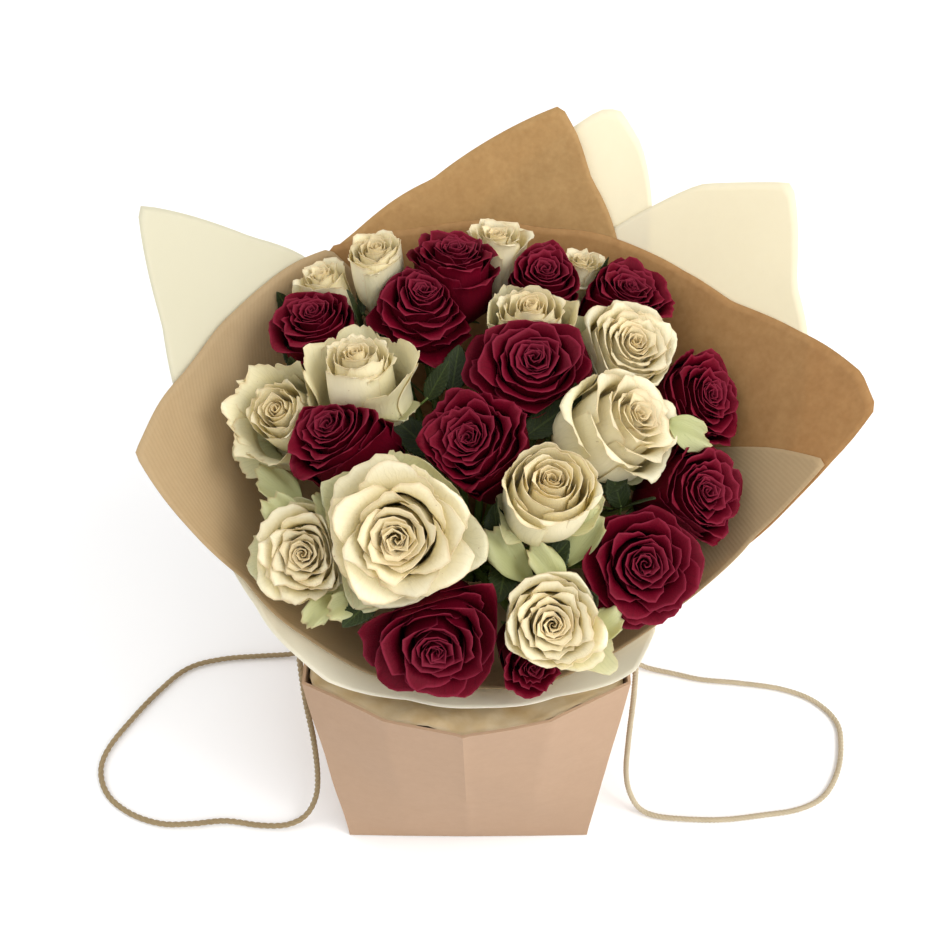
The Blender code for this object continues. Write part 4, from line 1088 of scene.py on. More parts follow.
def coil(name, node):
    """Turns of twisted twine side by side round the neck, between the CAD tie's lowest and highest point."""
    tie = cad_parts[node]
    corners = np.array([tie.matrix_world @ vertex.co for vertex in tie.data.vertices]) / MM - NECK
    ups = corners @ UP
    radii = np.hypot(corners @ ACROSS, corners @ BACK)
    twine_radius = 0.5 * (radii.max() - radii.min())
    pitch = (ups.max() - ups.min() - 2 * twine_radius) / (TIE_TURNS - 1)
    turn = np.linspace(0, 2 * math.pi * (TIE_TURNS - 0.02), 90 * TIE_TURNS)
    whole = np.floor(turn / (2 * math.pi))
    within = ease(0.86, 1.0, turn / (2 * math.pi) - whole)
    up = ups.min() + twine_radius + pitch * (whole + within)
    radius = radii.min() + twine_radius + TIE_WOBBLE * np.sin(3 * turn)
    path = bouquet_point(radius * np.cos(turn + TIE_START), radius * np.sin(turn + TIE_START), up)
    strand, lay = 0.56 * twine_radius, 0.44 * twine_radius
    points, faces, flat_map = laid_strands(path, 2, strand, lay, pitch=5.0, sides_count=6)
    make_piece(name, points, faces, TWINE, [node], flat_map=flat_map)
    print(name, "twine", round(2 * twine_radius, 1), "mm thick,", TIE_TURNS, "turns")


coil("stem_tie", "stem_twine")
coil("paper_tie", "outer_tie")

# %% [markdown]
# ## Where each rose stands
#
# Each line of the table is one rose of the CAD model: its colour, its place in the dome, how far it rises
# above it, its width, how it leans to the right and to the front, and its form. The lean matters as much as
# the place: the front roses turn their faces to the viewer. Bound roses press against each other, so a flat
# wall stands between each two, moved towards the one that gives way, and no petal may pass it.

# %% The roses
DOME_TOP, DOME_DROP, DOME_RADIUS = 192, 30, 120
ROSES = {
    "red_01": ("red", -88, 79, 6, 64, -8, 4, "cup"),
    "red_02": ("red", -27, 85, 6, 80, 0, 10, "open"),
    "red_03": ("red", -10, 111, 16, 66, 5, -8, "cup"),
    "red_04": ("red", 39, 101, 8, 66, 5, 12, "cup"),
    "red_05": ("red", 87, 97, 9, 74, 12, 10, "cup"),
    "red_06": ("red", 31, 39, 2, 88, 2, 22, "open"),
    "red_07": ("red", -4, -7, -4, 80, -20, 25, "cup"),
    "red_08": ("red", -75, 6, -2, 80, -21, 14, "cup"),
    "red_09": ("red", 128, 33, 2, 74, 28, 28, "cup"),
    "red_10": ("red", 121, -24, -1, 74, 33, 33, "cup"),
    "red_11": ("red", 85, -66, -2, 78, 6, 36, "open"),
    "red_12": ("red", -18, -110, -8, 92, 2, 61, "open"),
    "red_13": ("red", 30, -110, -33, 50, 8, 55, "small"),
    "cream_01": ("cream", -54, 114, 19, 48, -5, -5, "bud"),
    "cream_02": ("cream", -86, 107, 10, 50, -10, -5, "small"),
    "cream_03": ("cream", 13, 129, 13, 60, 0, -8, "small"),
    "cream_04": ("cream", 61, 119, 4, 46, 4, -8, "small"),
    "cream_05": ("cream", 30, 75, 4, 70, 0, 0, "cup"),
    "cream_06": ("cream", 86, 55, 6, 74, 18, 22, "cup"),
    "cream_07": ("cream", 85, 8, 8, 82, 34, 15, "cup"),
    "cream_08": ("cream", -61, 43, 6, 76, -3, -8, "cup"),
    "cream_09": ("cream", -104, 19, 0, 70, -15, 25, "cup"),
    "cream_10": ("cream", -37, -64, 13, 94, -4, 43, "open"),
    "cream_11": ("cream", -86, -59, -9, 66, -8, 38, "cup"),
    "cream_12": ("cream", 38, -32, 8, 62, 4, 14, "bud"),
    "cream_13": ("cream", 38, -98, 0, 70, 2, 38, "cup"),
}
COLUMN = ("colour", "across", "back", "rise", "width", "lean_right", "lean_front", "form")
print(len(ROSES), "roses")

# %% One rose's place, axis and neighbours
BLOOM_HEIGHT, HEIGHT_BY_WIDTH = 34, 0.2
BASE_ROOM = 17
FAR_AWAY = 1e6


class Rose:
    """Where one bloom stands: its top, axis, base and size, as in the CAD model."""

    def __init__(self, name):
        for key, value in zip(COLUMN, ROSES[name]):
            setattr(self, key, value)
        self.name = name
        self.radius = self.width / 2
        self.height = BLOOM_HEIGHT + HEIGHT_BY_WIDTH * self.width
        spread = math.hypot(self.across, self.back)
        up = DOME_TOP + self.rise - DOME_DROP * (spread / DOME_RADIUS) ** 2
        self.top = bouquet_point(self.across, self.back, up)
        right = math.tan(math.radians(self.lean_right))
        front = math.tan(math.radians(self.lean_front))
        self.axis = unit(np.array([right, -front, 1.0]))
        self.base = self.top - self.height * self.axis
        place = self.spread()
        far = np.linalg.norm(place)
        up = (self.base - NECK) @ UP
        most = funnel_radius(up) - BASE_ROOM
        if far > most:
            place *= most / far
            self.axis = unit(self.top - bouquet_point(*place, up))
            self.base = self.top - self.height * self.axis
        self.side = unit(ACROSS - (ACROSS @ self.axis) * self.axis)
        self.other = np.cross(self.axis, self.side)
        self.walls = []
        self.between = {}

    def spread(self):
        """How far the base stands from the bouquet's middle line, to the right and to the back."""
        away = self.base - NECK
        return np.array([away @ ACROSS, away @ BACK])

    def directions(self, angles):
        """Which way each angle round the bloom points."""
        return np.cos(angles)[..., None] * self.side + np.sin(angles)[..., None] * self.other

    def room(self, angles, heights):
        """How far a petal may reach at each angle and height before it meets a neighbour or the paper."""
        directions = self.directions(angles)
        reach = np.full(angles.shape, FAR_AWAY)
        for normal, offset in self.walls:
            slope = directions @ normal
            left = offset - (self.base @ normal + heights * (self.axis @ normal))
            reach = np.minimum(reach, np.where(slope > 1e-6, left / np.maximum(slope, 1e-6), FAR_AWAY))
        return np.maximum(reach, 1.0)


roses = {name: Rose(name) for name in ROSES}
print("first rose tops out at", np.round(roses["red_01"].top, 1))

# %% Walls between the roses
# How far a bloom pushes its walls into its neighbours, in millimetres
PUSH = {
    "cream_06": 2, "cream_07": 5, "cream_08": 2, "cream_10": 6, "cream_12": 2, "red_01": 3, "red_02": 5,
    "red_03": 5, "red_05": 1, "red_06": 5, "red_07": 2, "red_08": 2, "red_11": 2,
}
CELL_GAP, FUNNEL_GAP = 1.6, 2.5
NEIGHBOUR_GAP = 4
SAMPLES = 24


def closest_points(one, two):
    """Gap between the middle lines of two blooms and the two near points, by sampling."""
    shares = np.linspace(0, 1, SAMPLES)[:, None]
    lines = []
    for rose in (one, two):
        low = rose.base + 0.1 * rose.height * rose.axis
        lines.append(low + shares * (rose.top - low))
    gaps = np.linalg.norm(lines[0][:, None] - lines[1][None], axis=2)
    first, second = np.unravel_index(np.argmin(gaps), gaps.shape)
    return gaps[first, second], lines[0][first], lines[1][second]


def build_walls():
    """A flat wall between each two near blooms, and the funnel's panels round them all."""
    listed = list(roses.values())
    for number, one in enumerate(listed):
        for two in listed[number + 1:]:
            gap, near_one, near_two = closest_points(one, two)
            if gap > one.radius + two.radius + NEIGHBOUR_GAP:
                continue
            normal = unit(near_two - near_one)
            share = one.radius / (one.radius + two.radius)
            push = PUSH.get(one.name, 0) - PUSH.get(two.name, 0)
            middle = near_one + share * (near_two - near_one) + push * normal
            one.between[two.name] = two.between[one.name] = (normal, middle)
            one.walls.append((normal, normal @ middle - CELL_GAP / 2))
            two.walls.append((-normal, -(normal @ middle) - CELL_GAP / 2))
    for step in range(360 // AZIMUTH_STEP):
        _, normal, place = funnel_panel(AZIMUTH_START + AZIMUTH_STEP * (step + 0.5))
        for rose in listed:
            rose.walls.append((normal, normal @ place - FUNNEL_GAP))


build_walls()
print("walls round red_06:", len(roses["red_06"].between), "neighbours")

# %% [markdown]
# ## Petals
#
# A rose petal is a shallow spoon. From the hip it goes out and up, hugs the bud inside it, and then flares
# away to its lip, where it rolls over. The corners of a petal roll further back than its middle, and that is
# what makes the petals of an open rose look pointed. Round the flower each petal stands a little inside the
# last one and 137.5 degrees further on, the golden angle, so no two rows line up.

# %% Side view of a petal
HUG_POINTS, FLARE_POINTS, LIP_POINTS = 30, 24, 20


def bezier(start, low, high, end, count):
    """Points on a smooth curve between two ends, drawn towards two points in between."""
    t = np.linspace(0, 1, count)[:, None]
    return (1 - t) ** 3 * start + 3 * t * (1 - t) ** 2 * low + 3 * t * t * (1 - t) * high + t ** 3 * end


def petal_line(spec, reach, fall, curl, turn):
    """Radius and height up a petal, and the share of its length at each point."""
    foot = np.array(spec["base"])
    hug, flare_from, lay = spec["hug"], spec["flare_from"], spec["lay"]
    lip = np.array([hug + (spec["lip"][0] - hug) * reach, spec["lip"][1] - fall])
    waist = np.array([hug, flare_from])
    belly = np.array([spec["belly"], foot[1] + 0.06 * lip[1]])
    chest = np.array([1.04 * hug, 0.35 * foot[1] + 0.65 * flare_from])
    round_hug = bezier(foot, belly, chest, waist, HUG_POINTS)
    out, rise = lip - waist
    late = np.array([lip[0] - (0.25 + 0.35 * lay) * out, lip[1] - (1 - lay) * 0.45 * rise])
    flare = bezier(waist, waist + np.array([0, 0.45 * rise]), late, lip, FLARE_POINTS)
    heading = math.atan2(lip[0] - late[0], lip[1] - late[1])
    bend = heading + turn * np.linspace(0, 1, LIP_POINTS)[1:]
    arc = lip + curl * np.stack([np.cos(heading) - np.cos(bend), np.sin(bend) - np.sin(heading)], 1)
    line = np.vstack([round_hug, flare[1:], arc])
    run = np.concatenate([[0], np.cumsum(np.linalg.norm(np.diff(line, axis=0), axis=1))])
    return line, run / run[-1]


print("a petal's side view has", HUG_POINTS + FLARE_POINTS + LIP_POINTS - 2, "points")

# %% Where a petal ends across its width
def petal_end(spec, s, phase):
    """Share of its length at which a petal ends: rounded corners, soft notches, fine teeth and one point."""
    pitch = spec["pitch"]
    teeth = spec["teeth"] * (np.sin(pitch * s + 3 * phase) + 0.7 * np.sin(1.63 * pitch * s + phase))
    notch = spec["nick"] * (np.sin(7 * s + phase) + 0.5 * np.sin(15 * s - 2 * phase)) + teeth
    return 1 - spec["round"] * np.abs(s) ** spec["square"] + notch + spec["point"] * np.exp(-(s / 0.16) ** 2)


PLAIN = {"pitch": 1, "teeth": 0, "nick": 0, "round": 0.2, "square": 2, "point": 0.1}
print("a plain petal ends at", petal_end(PLAIN, 0, 0), "in its middle and at", petal_end(PLAIN, 1, 0),
      "of its length at a corner")

# %% One petal as a grid of angle, radius and height
SMALLEST_RADIUS = 0.25


def petal_grid(spec, dice, across, along):
    """A petal's points, with s from -1 to 1 across it and t from 0 to 1 along it."""
    s = np.sin(0.5 * math.pi * np.linspace(-1, 1, across))[:, None] * np.ones((1, along))
    t = np.ones((across, 1)) * np.sin(0.5 * math.pi * np.linspace(0, 1, along))[None, :] ** 0.95
    phase = dice.uniform(0, 6.28)
    u = np.clip(t * petal_end(spec, s, phase) / 1.04, 0, 1)

    # The corners follow a line of their own, which rolls further back than the middle's.
    lines = (petal_line(spec, 1.0, 0.0, spec["curl"], spec["turn"]),
             petal_line(spec, 0.92, 0.02 * spec["lip"][1], 0.85 * spec["curl"],
                        spec["turn"] + spec["corner_turn"]))
    back = ease(0.2, 0.85, np.abs(s + spec["skew"]))
    radius, height = 0.0, 0.0
    for weight, (line, run) in zip((1 - back, back), lines):
        radius = radius + weight * np.interp(u, run, line[:, 0])
        height = height + weight * np.interp(u, run, line[:, 1])

    # The rim is wavy, with a finer frill on the outer petals, and soft creases run down from it.
    half_width = spec["half"] * (0.34 + 0.66 * np.sin(0.5 * math.pi * np.clip(u / 0.66, 0, 1)))
    angle = s * np.minimum(half_width / np.maximum(radius, 1.0), spec["wrap"])
    rim = np.maximum(ease(0.5, 1.0, t), 0.6 * ease(0.7, 1, np.abs(s)) * ease(0.3, 0.8, t))
    wave = spec["waves"] * math.pi * s
    frill = spec["frill"] * np.sin(1.7 * wave + 2.3 * phase + 2 * t)
    crease = np.sin(1.4 * wave + 5 * phase + 3 * t) * ease(0.25, 0.8, t) * (1 - 0.5 * rim)
    radius = radius + spec["tuck"] * s
    radius = radius + spec["ruffle"] * rim * (np.sin(wave + phase) + frill)
    radius = radius + 0.16 * spec["ruffle"] * crease
    height = height + 0.6 * spec["ruffle"] * rim * np.sin(1.3 * wave + 4 * phase)
    angle = angle + spec["lean"] * t * t + spec["azimuth"]
    return angle, np.maximum(radius, SMALLEST_RADIUS), height, s, t


print("no petal comes nearer to its bloom's axis than", SMALLEST_RADIUS, "mm")

# %% [markdown]
# The same petal serves every rose. What differs between an open rose, a cup and a bud is how the petals
# stand from the outside of the flower to its heart: the radius and height of the lip, how closely the petal
# hugs the bud, how long and how flat its flare is, how tightly it rolls, and how wide it is. Each row of
# numbers runs from the outermost petal to the innermost one.

# %% Forms of bloom
SHARES = (0, 0.12, 0.25, 0.45, 0.65, 0.85, 1)
FORMS = {
    "open": dict(
        count=38, dip=0.15, lip=(0.97, 0.93, 0.83, 0.62, 0.40, 0.20, 0.07),
        hug=(0.46, 0.46, 0.48, 0.45, 0.28, 0.11, 0.03),
        high=(0.46, 0.58, 0.74, 0.88, 0.95, 0.98, 0.98), flare=(0.36, 0.33, 0.24, 0.12, 0.09, 0.06, 0.04),
        lay=(0.9, 0.8, 0.7, 0.6, 0.5, 0.3, 0.1), curl=(0.08, 0.075, 0.06, 0.04, 0.026, 0.014, 0.01),
        turn=(85, 88, 88, 80, 66, 48, 30), half=(0.86, 0.84, 0.78, 0.66, 0.54, 0.40, 0.3)),
    "cup": dict(
        count=34, dip=0.10, lip=(0.97, 0.88, 0.74, 0.55, 0.37, 0.19, 0.07),
        hug=(0.72, 0.65, 0.55, 0.40, 0.25, 0.11, 0.03),
        high=(0.62, 0.80, 0.90, 0.96, 0.99, 1.0, 0.99), flare=(0.22, 0.17, 0.13, 0.10, 0.08, 0.055, 0.04),
        lay=(0.8, 0.7, 0.6, 0.5, 0.4, 0.3, 0.1), curl=(0.11, 0.09, 0.07, 0.045, 0.028, 0.015, 0.01),
        turn=(108, 104, 94, 80, 62, 44, 28), half=(0.90, 0.88, 0.80, 0.66, 0.54, 0.40, 0.3)),
    "bud": dict(
        count=20, dip=0.04, lip=(0.87, 0.82, 0.75, 0.62, 0.43, 0.22, 0.08),
        hug=(0.81, 0.75, 0.67, 0.54, 0.35, 0.16, 0.04),
        high=(0.80, 0.87, 0.92, 0.97, 1.0, 1.01, 1.0), flare=(0.12, 0.10, 0.08, 0.07, 0.06, 0.05, 0.04),
        lay=(0.7, 0.6, 0.5, 0.4, 0.3, 0.2, 0.1), curl=(0.10, 0.09, 0.07, 0.04, 0.025, 0.015, 0.01),
        turn=(122, 108, 92, 74, 54, 38, 20), half=(1.05, 1.0, 0.88, 0.70, 0.56, 0.4, 0.3)),
    "small": dict(
        count=20, dip=0.08, lip=(0.94, 0.82, 0.66, 0.48, 0.33, 0.17, 0.07),
        hug=(0.70, 0.62, 0.50, 0.36, 0.22, 0.10, 0.03),
        high=(0.66, 0.86, 0.94, 0.98, 1.0, 1.0, 0.99), flare=(0.2, 0.16, 0.12, 0.09, 0.07, 0.05, 0.04),
        lay=(0.8, 0.7, 0.6, 0.5, 0.4, 0.2, 0.1), curl=(0.12, 0.10, 0.08, 0.045, 0.026, 0.015, 0.01),
        turn=(112, 104, 94, 74, 54, 36, 20), half=(0.97, 0.94, 0.84, 0.68, 0.56, 0.4, 0.3)),
}
GOLDEN_ANGLE = 137.5

# How ruffled the rims are and how many more petals a rose has than its form, first by colour, then for
# each rose that differs
CHARACTER = {"red": (0.55, 0), "cream": (0.3, 0)}
OWN_CHARACTER = {
    "red_02": (1.2, 2), "red_03": (1.0, 2), "red_06": (0.45, 0), "red_07": (1.3, 2), "red_08": (0.7, 0),
    "red_11": (0.35, -4), "red_12": (0.35, -10), "cream_05": (0.3, -3), "cream_07": (0.3, -8),
    "cream_08": (0.35, -3), "cream_09": (0.45, -4), "cream_10": (0.8, -6), "cream_12": (0.12, 0),
}

# Roses with a tight heart and a few large petals that stand away from it: the heart's share of the bloom,
# how far the large petals reach, and their bearings round it, in degrees
FLARED_PETALS = {
    "cream_08": (0.66, 0.95, (150, 98, 48, 8, -30)),
    "cream_09": (0.62, 0.82, (118, 66, 20, 172, 222, 262)),
    "cream_05": (0.68, 0.95, (172, 112, 62, 10)),
}

# Pale green guard petals that stay below a bloom: their bearings
GUARD_PETALS = {
    "cream_05": (340,), "cream_06": (130, 320), "cream_07": (-12, 60), "cream_08": (320, 250),
    "cream_09": (150, 215), "cream_10": (66, 158, 226, 250), "cream_11": (100, 200, 300),
    "cream_12": (200, 350), "cream_13": (5, 320),
}
GUARD_REACH = {"cream_12": 1.35, "cream_13": 1.2, "cream_07": 1.3}
print({form: values["count"] for form, values in FORMS.items()})

# %% The usual petal of a bloom
def usual_petal(rose, dice, depth, ruffle, azimuth, form, size=1.0):
    """One petal whose shape follows from how deep it sits in the bloom: 0 outermost, 1 the heart."""
    shape = FORMS[form]
    radius, height = size * rose.radius, rose.height
    inner, outer = float(ease(0.55, 0.95, depth)), 1 - depth

    def pick(row):
        """The number in a row of the form's table at this petal's depth."""
        return float(np.interp(depth, SHARES, shape[row]))

    curl = max(pick("curl") * radius * dice.uniform(0.75, 1.25), 0.35)
    high = pick("high") * height * dice.uniform(0.97, 1.03)
    lip = max(pick("lip") * radius * dice.uniform(0.95, 1.04) - curl, 0.8)
    hug = min(pick("hug") * radius, lip - 0.2)
    foot = (1.2 + 3.2 * outer, 0.3 + 3.0 * depth)
    half = pick("half") * radius * dice.uniform(0.92, 1.08)
    return dict(
        azimuth=azimuth, base=foot, belly=max(1.22 * hug, 2.0), hug=hug, lip=(lip, high),
        flare_from=max(high - pick("flare") * height * dice.uniform(0.85, 1.15), foot[1] + 2),
        lay=pick("lay"), curl=curl, turn=math.radians(pick("turn") * dice.uniform(0.8, 1.15)),
        corner_turn=math.radians(75 * outer ** 3), skew=dice.uniform(-0.16, 0.16), half=half,
        wrap=0.95 + 1.9 * inner, round=shape["dip"] * (0.35 + 1.3 * outer) + 0.05 * dice.random(),
        square=dice.uniform(1.9, 2.4) - 0.4 * outer + 1.4 * (1 - outer),
        point=0.09 * outer * dice.random() ** 1.5, teeth=0.008 + 0.012 * outer * ruffle,
        pitch=half / 1.1, nick=0.012 + 0.014 * outer, tuck=(0.45 + 0.6 * inner) * radius / 26,
        ruffle=ruffle * radius / 30 * (1 - 0.75 * depth), waves=dice.uniform(1.3, 2.1) * (1 - 0.45 * depth),
        frill=0.6 * (1 - float(ease(0.3, 0.6, depth))),
        lean=dice.uniform(-0.12, 0.12), depth=depth, tone=dice.random(), guard=0.0)


example = usual_petal(roses["red_06"], random.Random(0), 0, 1, 0, "open")
print("numbers that describe one petal:", ", ".join(example))

# %% Petals of one bloom, from the outermost in
USUAL_GUARD_REACH = 1.12


def guard_petal(rose, dice, bearing):
    """A short green petal that lies back below the bloom."""
    size, tall = rose.radius, rose.height
    spec = usual_petal(rose, dice, 0.0, 0.7, math.radians(bearing), rose.form)
    reach = GUARD_REACH.get(rose.name, USUAL_GUARD_REACH)
    spec.update(hug=0.5 * size, lip=(reach * size, 0.42 * tall), lay=0.6, flare_from=0.14 * tall,
                turn=math.radians(60), half=0.52 * size, guard=1.0, tuck=0.0)
    return spec


def flared_petal(rose, dice, bearing, reach, number):
    """A large petal that stands away from a tight heart. Every second one hugs it a little less."""
    size, tall = rose.radius, rose.height
    spec = usual_petal(rose, dice, 0.05, 0.6, math.radians(bearing), rose.form)
    lip = (dice.uniform(0.97, 1.03) * reach * size, dice.uniform(0.78, 0.93) * tall)
    spec.update(hug=(0.66 + 0.03 * (number % 2)) * size, lip=lip, lay=0.35, flare_from=0.45 * tall,
                turn=math.radians(62), half=0.6 * size, tuck=0.0)
    return spec


def bloom_petals(rose, dice):
    """Guard petals, flared petals, and then the usual ones, each a golden angle on from the last."""
    ruffle, extra = OWN_CHARACTER.get(rose.name, CHARACTER[rose.colour])
    heart, reach, flared = FLARED_PETALS.get(rose.name, (1.0, 1.0, ()))
    form = "bud" if flared else rose.form
    count = FORMS[form]["count"] + extra
    start = dice.uniform(0, 360)
    specs = [guard_petal(rose, dice, bearing) for bearing in GUARD_PETALS.get(rose.name, ())]
    specs += [flared_petal(rose, dice, bearing, reach, number) for number, bearing in enumerate(flared)]
    for number in range(count):
        depth = ((number + 0.5) / count) ** 0.78
        azimuth = math.radians(start + GOLDEN_ANGLE * number)
        specs.append(usual_petal(rose, dice, depth, ruffle, azimuth, form, heart))
    return specs


print("petals of cream_10:", len(bloom_petals(roses["cream_10"], random.Random(0))))

# %% Pressed together, and how fine each petal is
PRESS_SHARPNESS = 6
CELL_SLACK = 0.9
LARGE_ROSE = 34


def pressed(rose, angle, radius, height):
    """Radii bent in smoothly where the bloom's neighbours stand, with the petals still in their order."""
    reach = rose.room(angle, height) + CELL_SLACK
    return radius / (1 + (radius / reach) ** PRESS_SHARPNESS) ** (1 / PRESS_SHARPNESS)


def petal_size(rose, depth):
    """Points across and along a petal: fine where it is large and in sight."""
    large = rose.radius > LARGE_ROSE
    if depth < 0.3:
        return (27, 16) if large else (21, 14)
    if depth < 0.6:
        return (17, 13) if large else (15, 12)
    return (11, 11) if depth < 0.85 else (9, 9)


print("points on an outer petal of red_06:", petal_size(roses["red_06"], 0))

# %% Building a bloom
PETAL_THICK, RIM_THICK, FOOT_THICK = 0.45, 0.22, 0.075
GREEN_TINGE, TINGE_DEPTH = 0.55, 0.12


def petal_thickness(rose, spec, s, t):
    """Thin at the rim, and plump below it on the inner petals, so that the heart is full."""
    edge = np.maximum(ease(0.75, 1, t), ease(0.85, 1, np.abs(s)))
    plump = FOOT_THICK * rose.radius * ease(0.1, 0.45, spec["depth"])
    plump = plump * (1 - np.abs(s) ** 3) * (1 - ease(0.66, 0.9, t))
    return PETAL_THICK + (RIM_THICK - PETAL_THICK) * edge + plump


def petal_values(spec, s, t):
    """What the petal finishes read at each point."""
    green = max(spec["guard"], GREEN_TINGE * max(0.0, 1 - spec["depth"] / TINGE_DEPTH))
    return {
        "rim": np.maximum(ease(0.96, 1, t), ease(0.98, 1, np.abs(s)) * ease(0.3, 0.6, t)),
        "along": t,
        "depth": np.full(s.shape, spec["depth"]),
        "tone": np.full(s.shape, spec["tone"]),
        "guard": green * (1 - 0.5 * t),
    }


def build_bloom(rose):
    """All petals of a bloom as one piece in the place of its CAD bloom."""
    dice = random.Random(rose.name)
    columns = {"rim": [], "along": [], "depth": [], "tone": [], "guard": []}
    parts, maps = [], []
    for spec in bloom_petals(rose, dice):
        angle, radius, height, s, t = petal_grid(spec, dice, *petal_size(rose, spec["depth"]))
        radius = pressed(rose, angle, radius, height)
        grid = rose.base + height[..., None] * rose.axis + radius[..., None] * rose.directions(angle)
        parts.append(closed_sheet(grid, petal_thickness(rose, spec, s, t)))
        for key, value in petal_values(spec, s, t).items():
            columns[key].append(np.tile(value.ravel(), 2))
        maps.append(np.tile(np.stack([0.5 + 0.5 * s + spec["tone"], t], -1).reshape(-1, 2), (2, 1)))
    points, faces = combine(parts)
    values = {key: np.concatenate(column) for key, column in columns.items()}
    finish = RED_PETAL if rose.colour == "red" else CREAM_PETAL
    make_piece(f"{rose.name}_petals", points, faces, finish, [f"{rose.name}_bloom"], values,
               np.vstack(maps))
    return len(faces)


faces_made = [build_bloom(rose) for rose in roses.values()]
print("petal faces:", sum(faces_made), "and the largest bloom has", max(faces_made))

# %% [markdown]
# ## Stems, sepals and leaves
#
# Each stem runs from its foot in the water, through the binding and up to the hip under its bloom, on the
# same line as the CAD stem. Five narrow sepals fold down from the hip. The bound stems keep the order of
# their blooms, which is found by swapping places until no swap helps.

# %% Places of the bound stems
STEM_PITCH = 5.7
SLOT_REACH = 4
PRESSED = ("red_13", "cream_02", "cream_03", "cream_04", "cream_01")
PRESS_DEPTH = 1.1
BASE_WEIGHT = 0.01


def honeycomb_slots(count):
    """Places of the bound stems, ring by ring round the middle one."""
    slots = []
    for across in range(-SLOT_REACH, SLOT_REACH + 1):
        for back in range(-SLOT_REACH, SLOT_REACH + 1):
            slots.append(np.array([across + 0.5 * back, back * math.sqrt(3) / 2]) * STEM_PITCH)
    slots.sort(key=lambda place: (round(math.hypot(*place), 3), round(math.atan2(place[1], place[0]), 3)))
    return slots[:count]


def give_slots():
    """One place in the binding for each rose, swapped until they lie in the order of the blooms."""
    listed = list(roses.values())
    for rose, slot in zip(listed, honeycomb_slots(len(listed))):
        rose.slot = slot
    swapped = True
    while swapped:
        swapped = False
        for number, one in enumerate(listed):
            for two in listed[number + 1:]:
                if (one.slot - two.slot) @ (one.spread() - two.spread()) < -1e-6:
                    one.slot, two.slot = two.slot, one.slot
                    swapped = True


def pair_pressed():
    """Half-hidden roses share a CAD node with the neighbour whose stem they are pressed against."""
    hosts = {}
    for name in PRESSED:
        rose = roses[name]
        taken = list(PRESSED) + list(hosts.values())
        free = [other for other in roses.values() if other.name not in taken]
        host = min(free, key=lambda other: np.linalg.norm(other.slot - rose.slot)
                   + BASE_WEIGHT * np.linalg.norm(other.base - rose.base))
        hosts[name] = host.name
        away = rose.slot - host.slot
        rose.slot = host.slot + away * (1 - PRESS_DEPTH / np.linalg.norm(away))
    return hosts


give_slots()
hosts = pair_pressed()
print("shared stems:", hosts)

# %% Line of a stem
FOOT_CENTRE = np.array([2.0, 18.0, 5.0])
FOOT_SPREAD, FOOT_TURN, FOOT_STEPS = 2.3, 70, 12
BINDING_TOP = 2.0
HIP_LENGTH, STEM_STEPS = 11, 16


def stem_line(rose):
    """Points up the middle of a stem, through the same places as the CAD stem."""
    slot = rose.slot
    turn = math.radians(FOOT_TURN)
    foot = FOOT_CENTRE + FOOT_SPREAD * np.array([math.cos(turn) * slot[0] - math.sin(turn) * slot[1],
                                                 math.sin(turn) * slot[0] + math.cos(turn) * slot[1], 0.0])
    low = bouquet_point(slot[0], slot[1], -BOUND_LENGTH)
    start = bouquet_point(slot[0], slot[1], BINDING_TOP)
    end = rose.base - HIP_LENGTH * rose.axis
    leaving = end - start
    arriving = 0.5 * leaving + 0.5 * np.linalg.norm(leaving) * rose.axis
    points = [foot + share * (low - foot) for share in np.linspace(0, 0.96, FOOT_STEPS)] + [low, start]
    for share in np.linspace(0, 1, STEM_STEPS)[1:]:
        points.append(hermite(share, start, leaving, end, arriving))
    return np.array(points)


print("points on a stem's line:", len(stem_line(roses["red_01"])))

# %% Stem, hip and sepals of one rose
STEM, SEAT_GAP = 2.7, 0.3
HIP_PROFILE = ((-8.5, 2.9), (-7, 3.6), (-5, 4.6), (-3, 5.0), (-1.4, 4.4), (-SEAT_GAP, 3.6))
STEM_SIDES = 12
SEPALS = 5
SEPAL_THICK, SHORTEST_SEPAL = 0.4, 6


def stem_parts(rose):
    """Stem with small swellings, the hip, and five sepals."""
    dice = random.Random(rose.name + " stem")
    line = stem_line(rose)
    swellings = [0.12 * math.sin(0.9 * step + dice.uniform(0, 3)) for step in range(len(line))]
    radii = 0.92 * STEM + np.array(swellings)
    radii[FOOT_STEPS:FOOT_STEPS + 2] = 0.9 * STEM
    heights, hip_radii = np.transpose(HIP_PROFILE)
    hip = rose.base + heights[:, None] * rose.axis
    parts = [tube(np.vstack([line, hip]), np.concatenate([radii, hip_radii]), STEM_SIDES)]
    for step in range(SEPALS):
        parts.append(sepal(rose, 2 * math.pi * step / SEPALS + dice.uniform(-0.15, 0.15), dice))
    return parts


def sepal(rose, azimuth, dice):
    """A narrow pointed leaf that leaves the hip and bends down under the petals."""
    room = float(rose.room(np.array([azimuth]), np.array([-2.0]))[0])
    length = max(min(0.5 * rose.radius, 0.95 * room) - 2, SHORTEST_SEPAL)
    share = np.linspace(0, 1, 10)
    out = 3.0 + share * length
    drop = -0.9 - 2.6 * share ** 1.6 - dice.uniform(0, 1.0) * share ** 3
    half = (2.6 * np.sin(math.pi * np.clip(0.12 + 0.88 * share, 0, 1)) ** 0.8 + 0.15) * (1 - 0.3 * share)
    side = np.linspace(-1, 1, 5)
    direction = rose.directions(np.array(azimuth))
    lateral = np.cross(rose.axis, direction)
    grid = rose.base + out[None, :, None] * direction + (side[:, None] * half[None, :])[..., None] * lateral
    grid = grid + (drop[None, :] + 0.35 * np.abs(side)[:, None])[..., None] * rose.axis
    return closed_sheet(grid, SEPAL_THICK)


print("parts of a stem with its sepals:", len(stem_parts(roses["red_01"])))

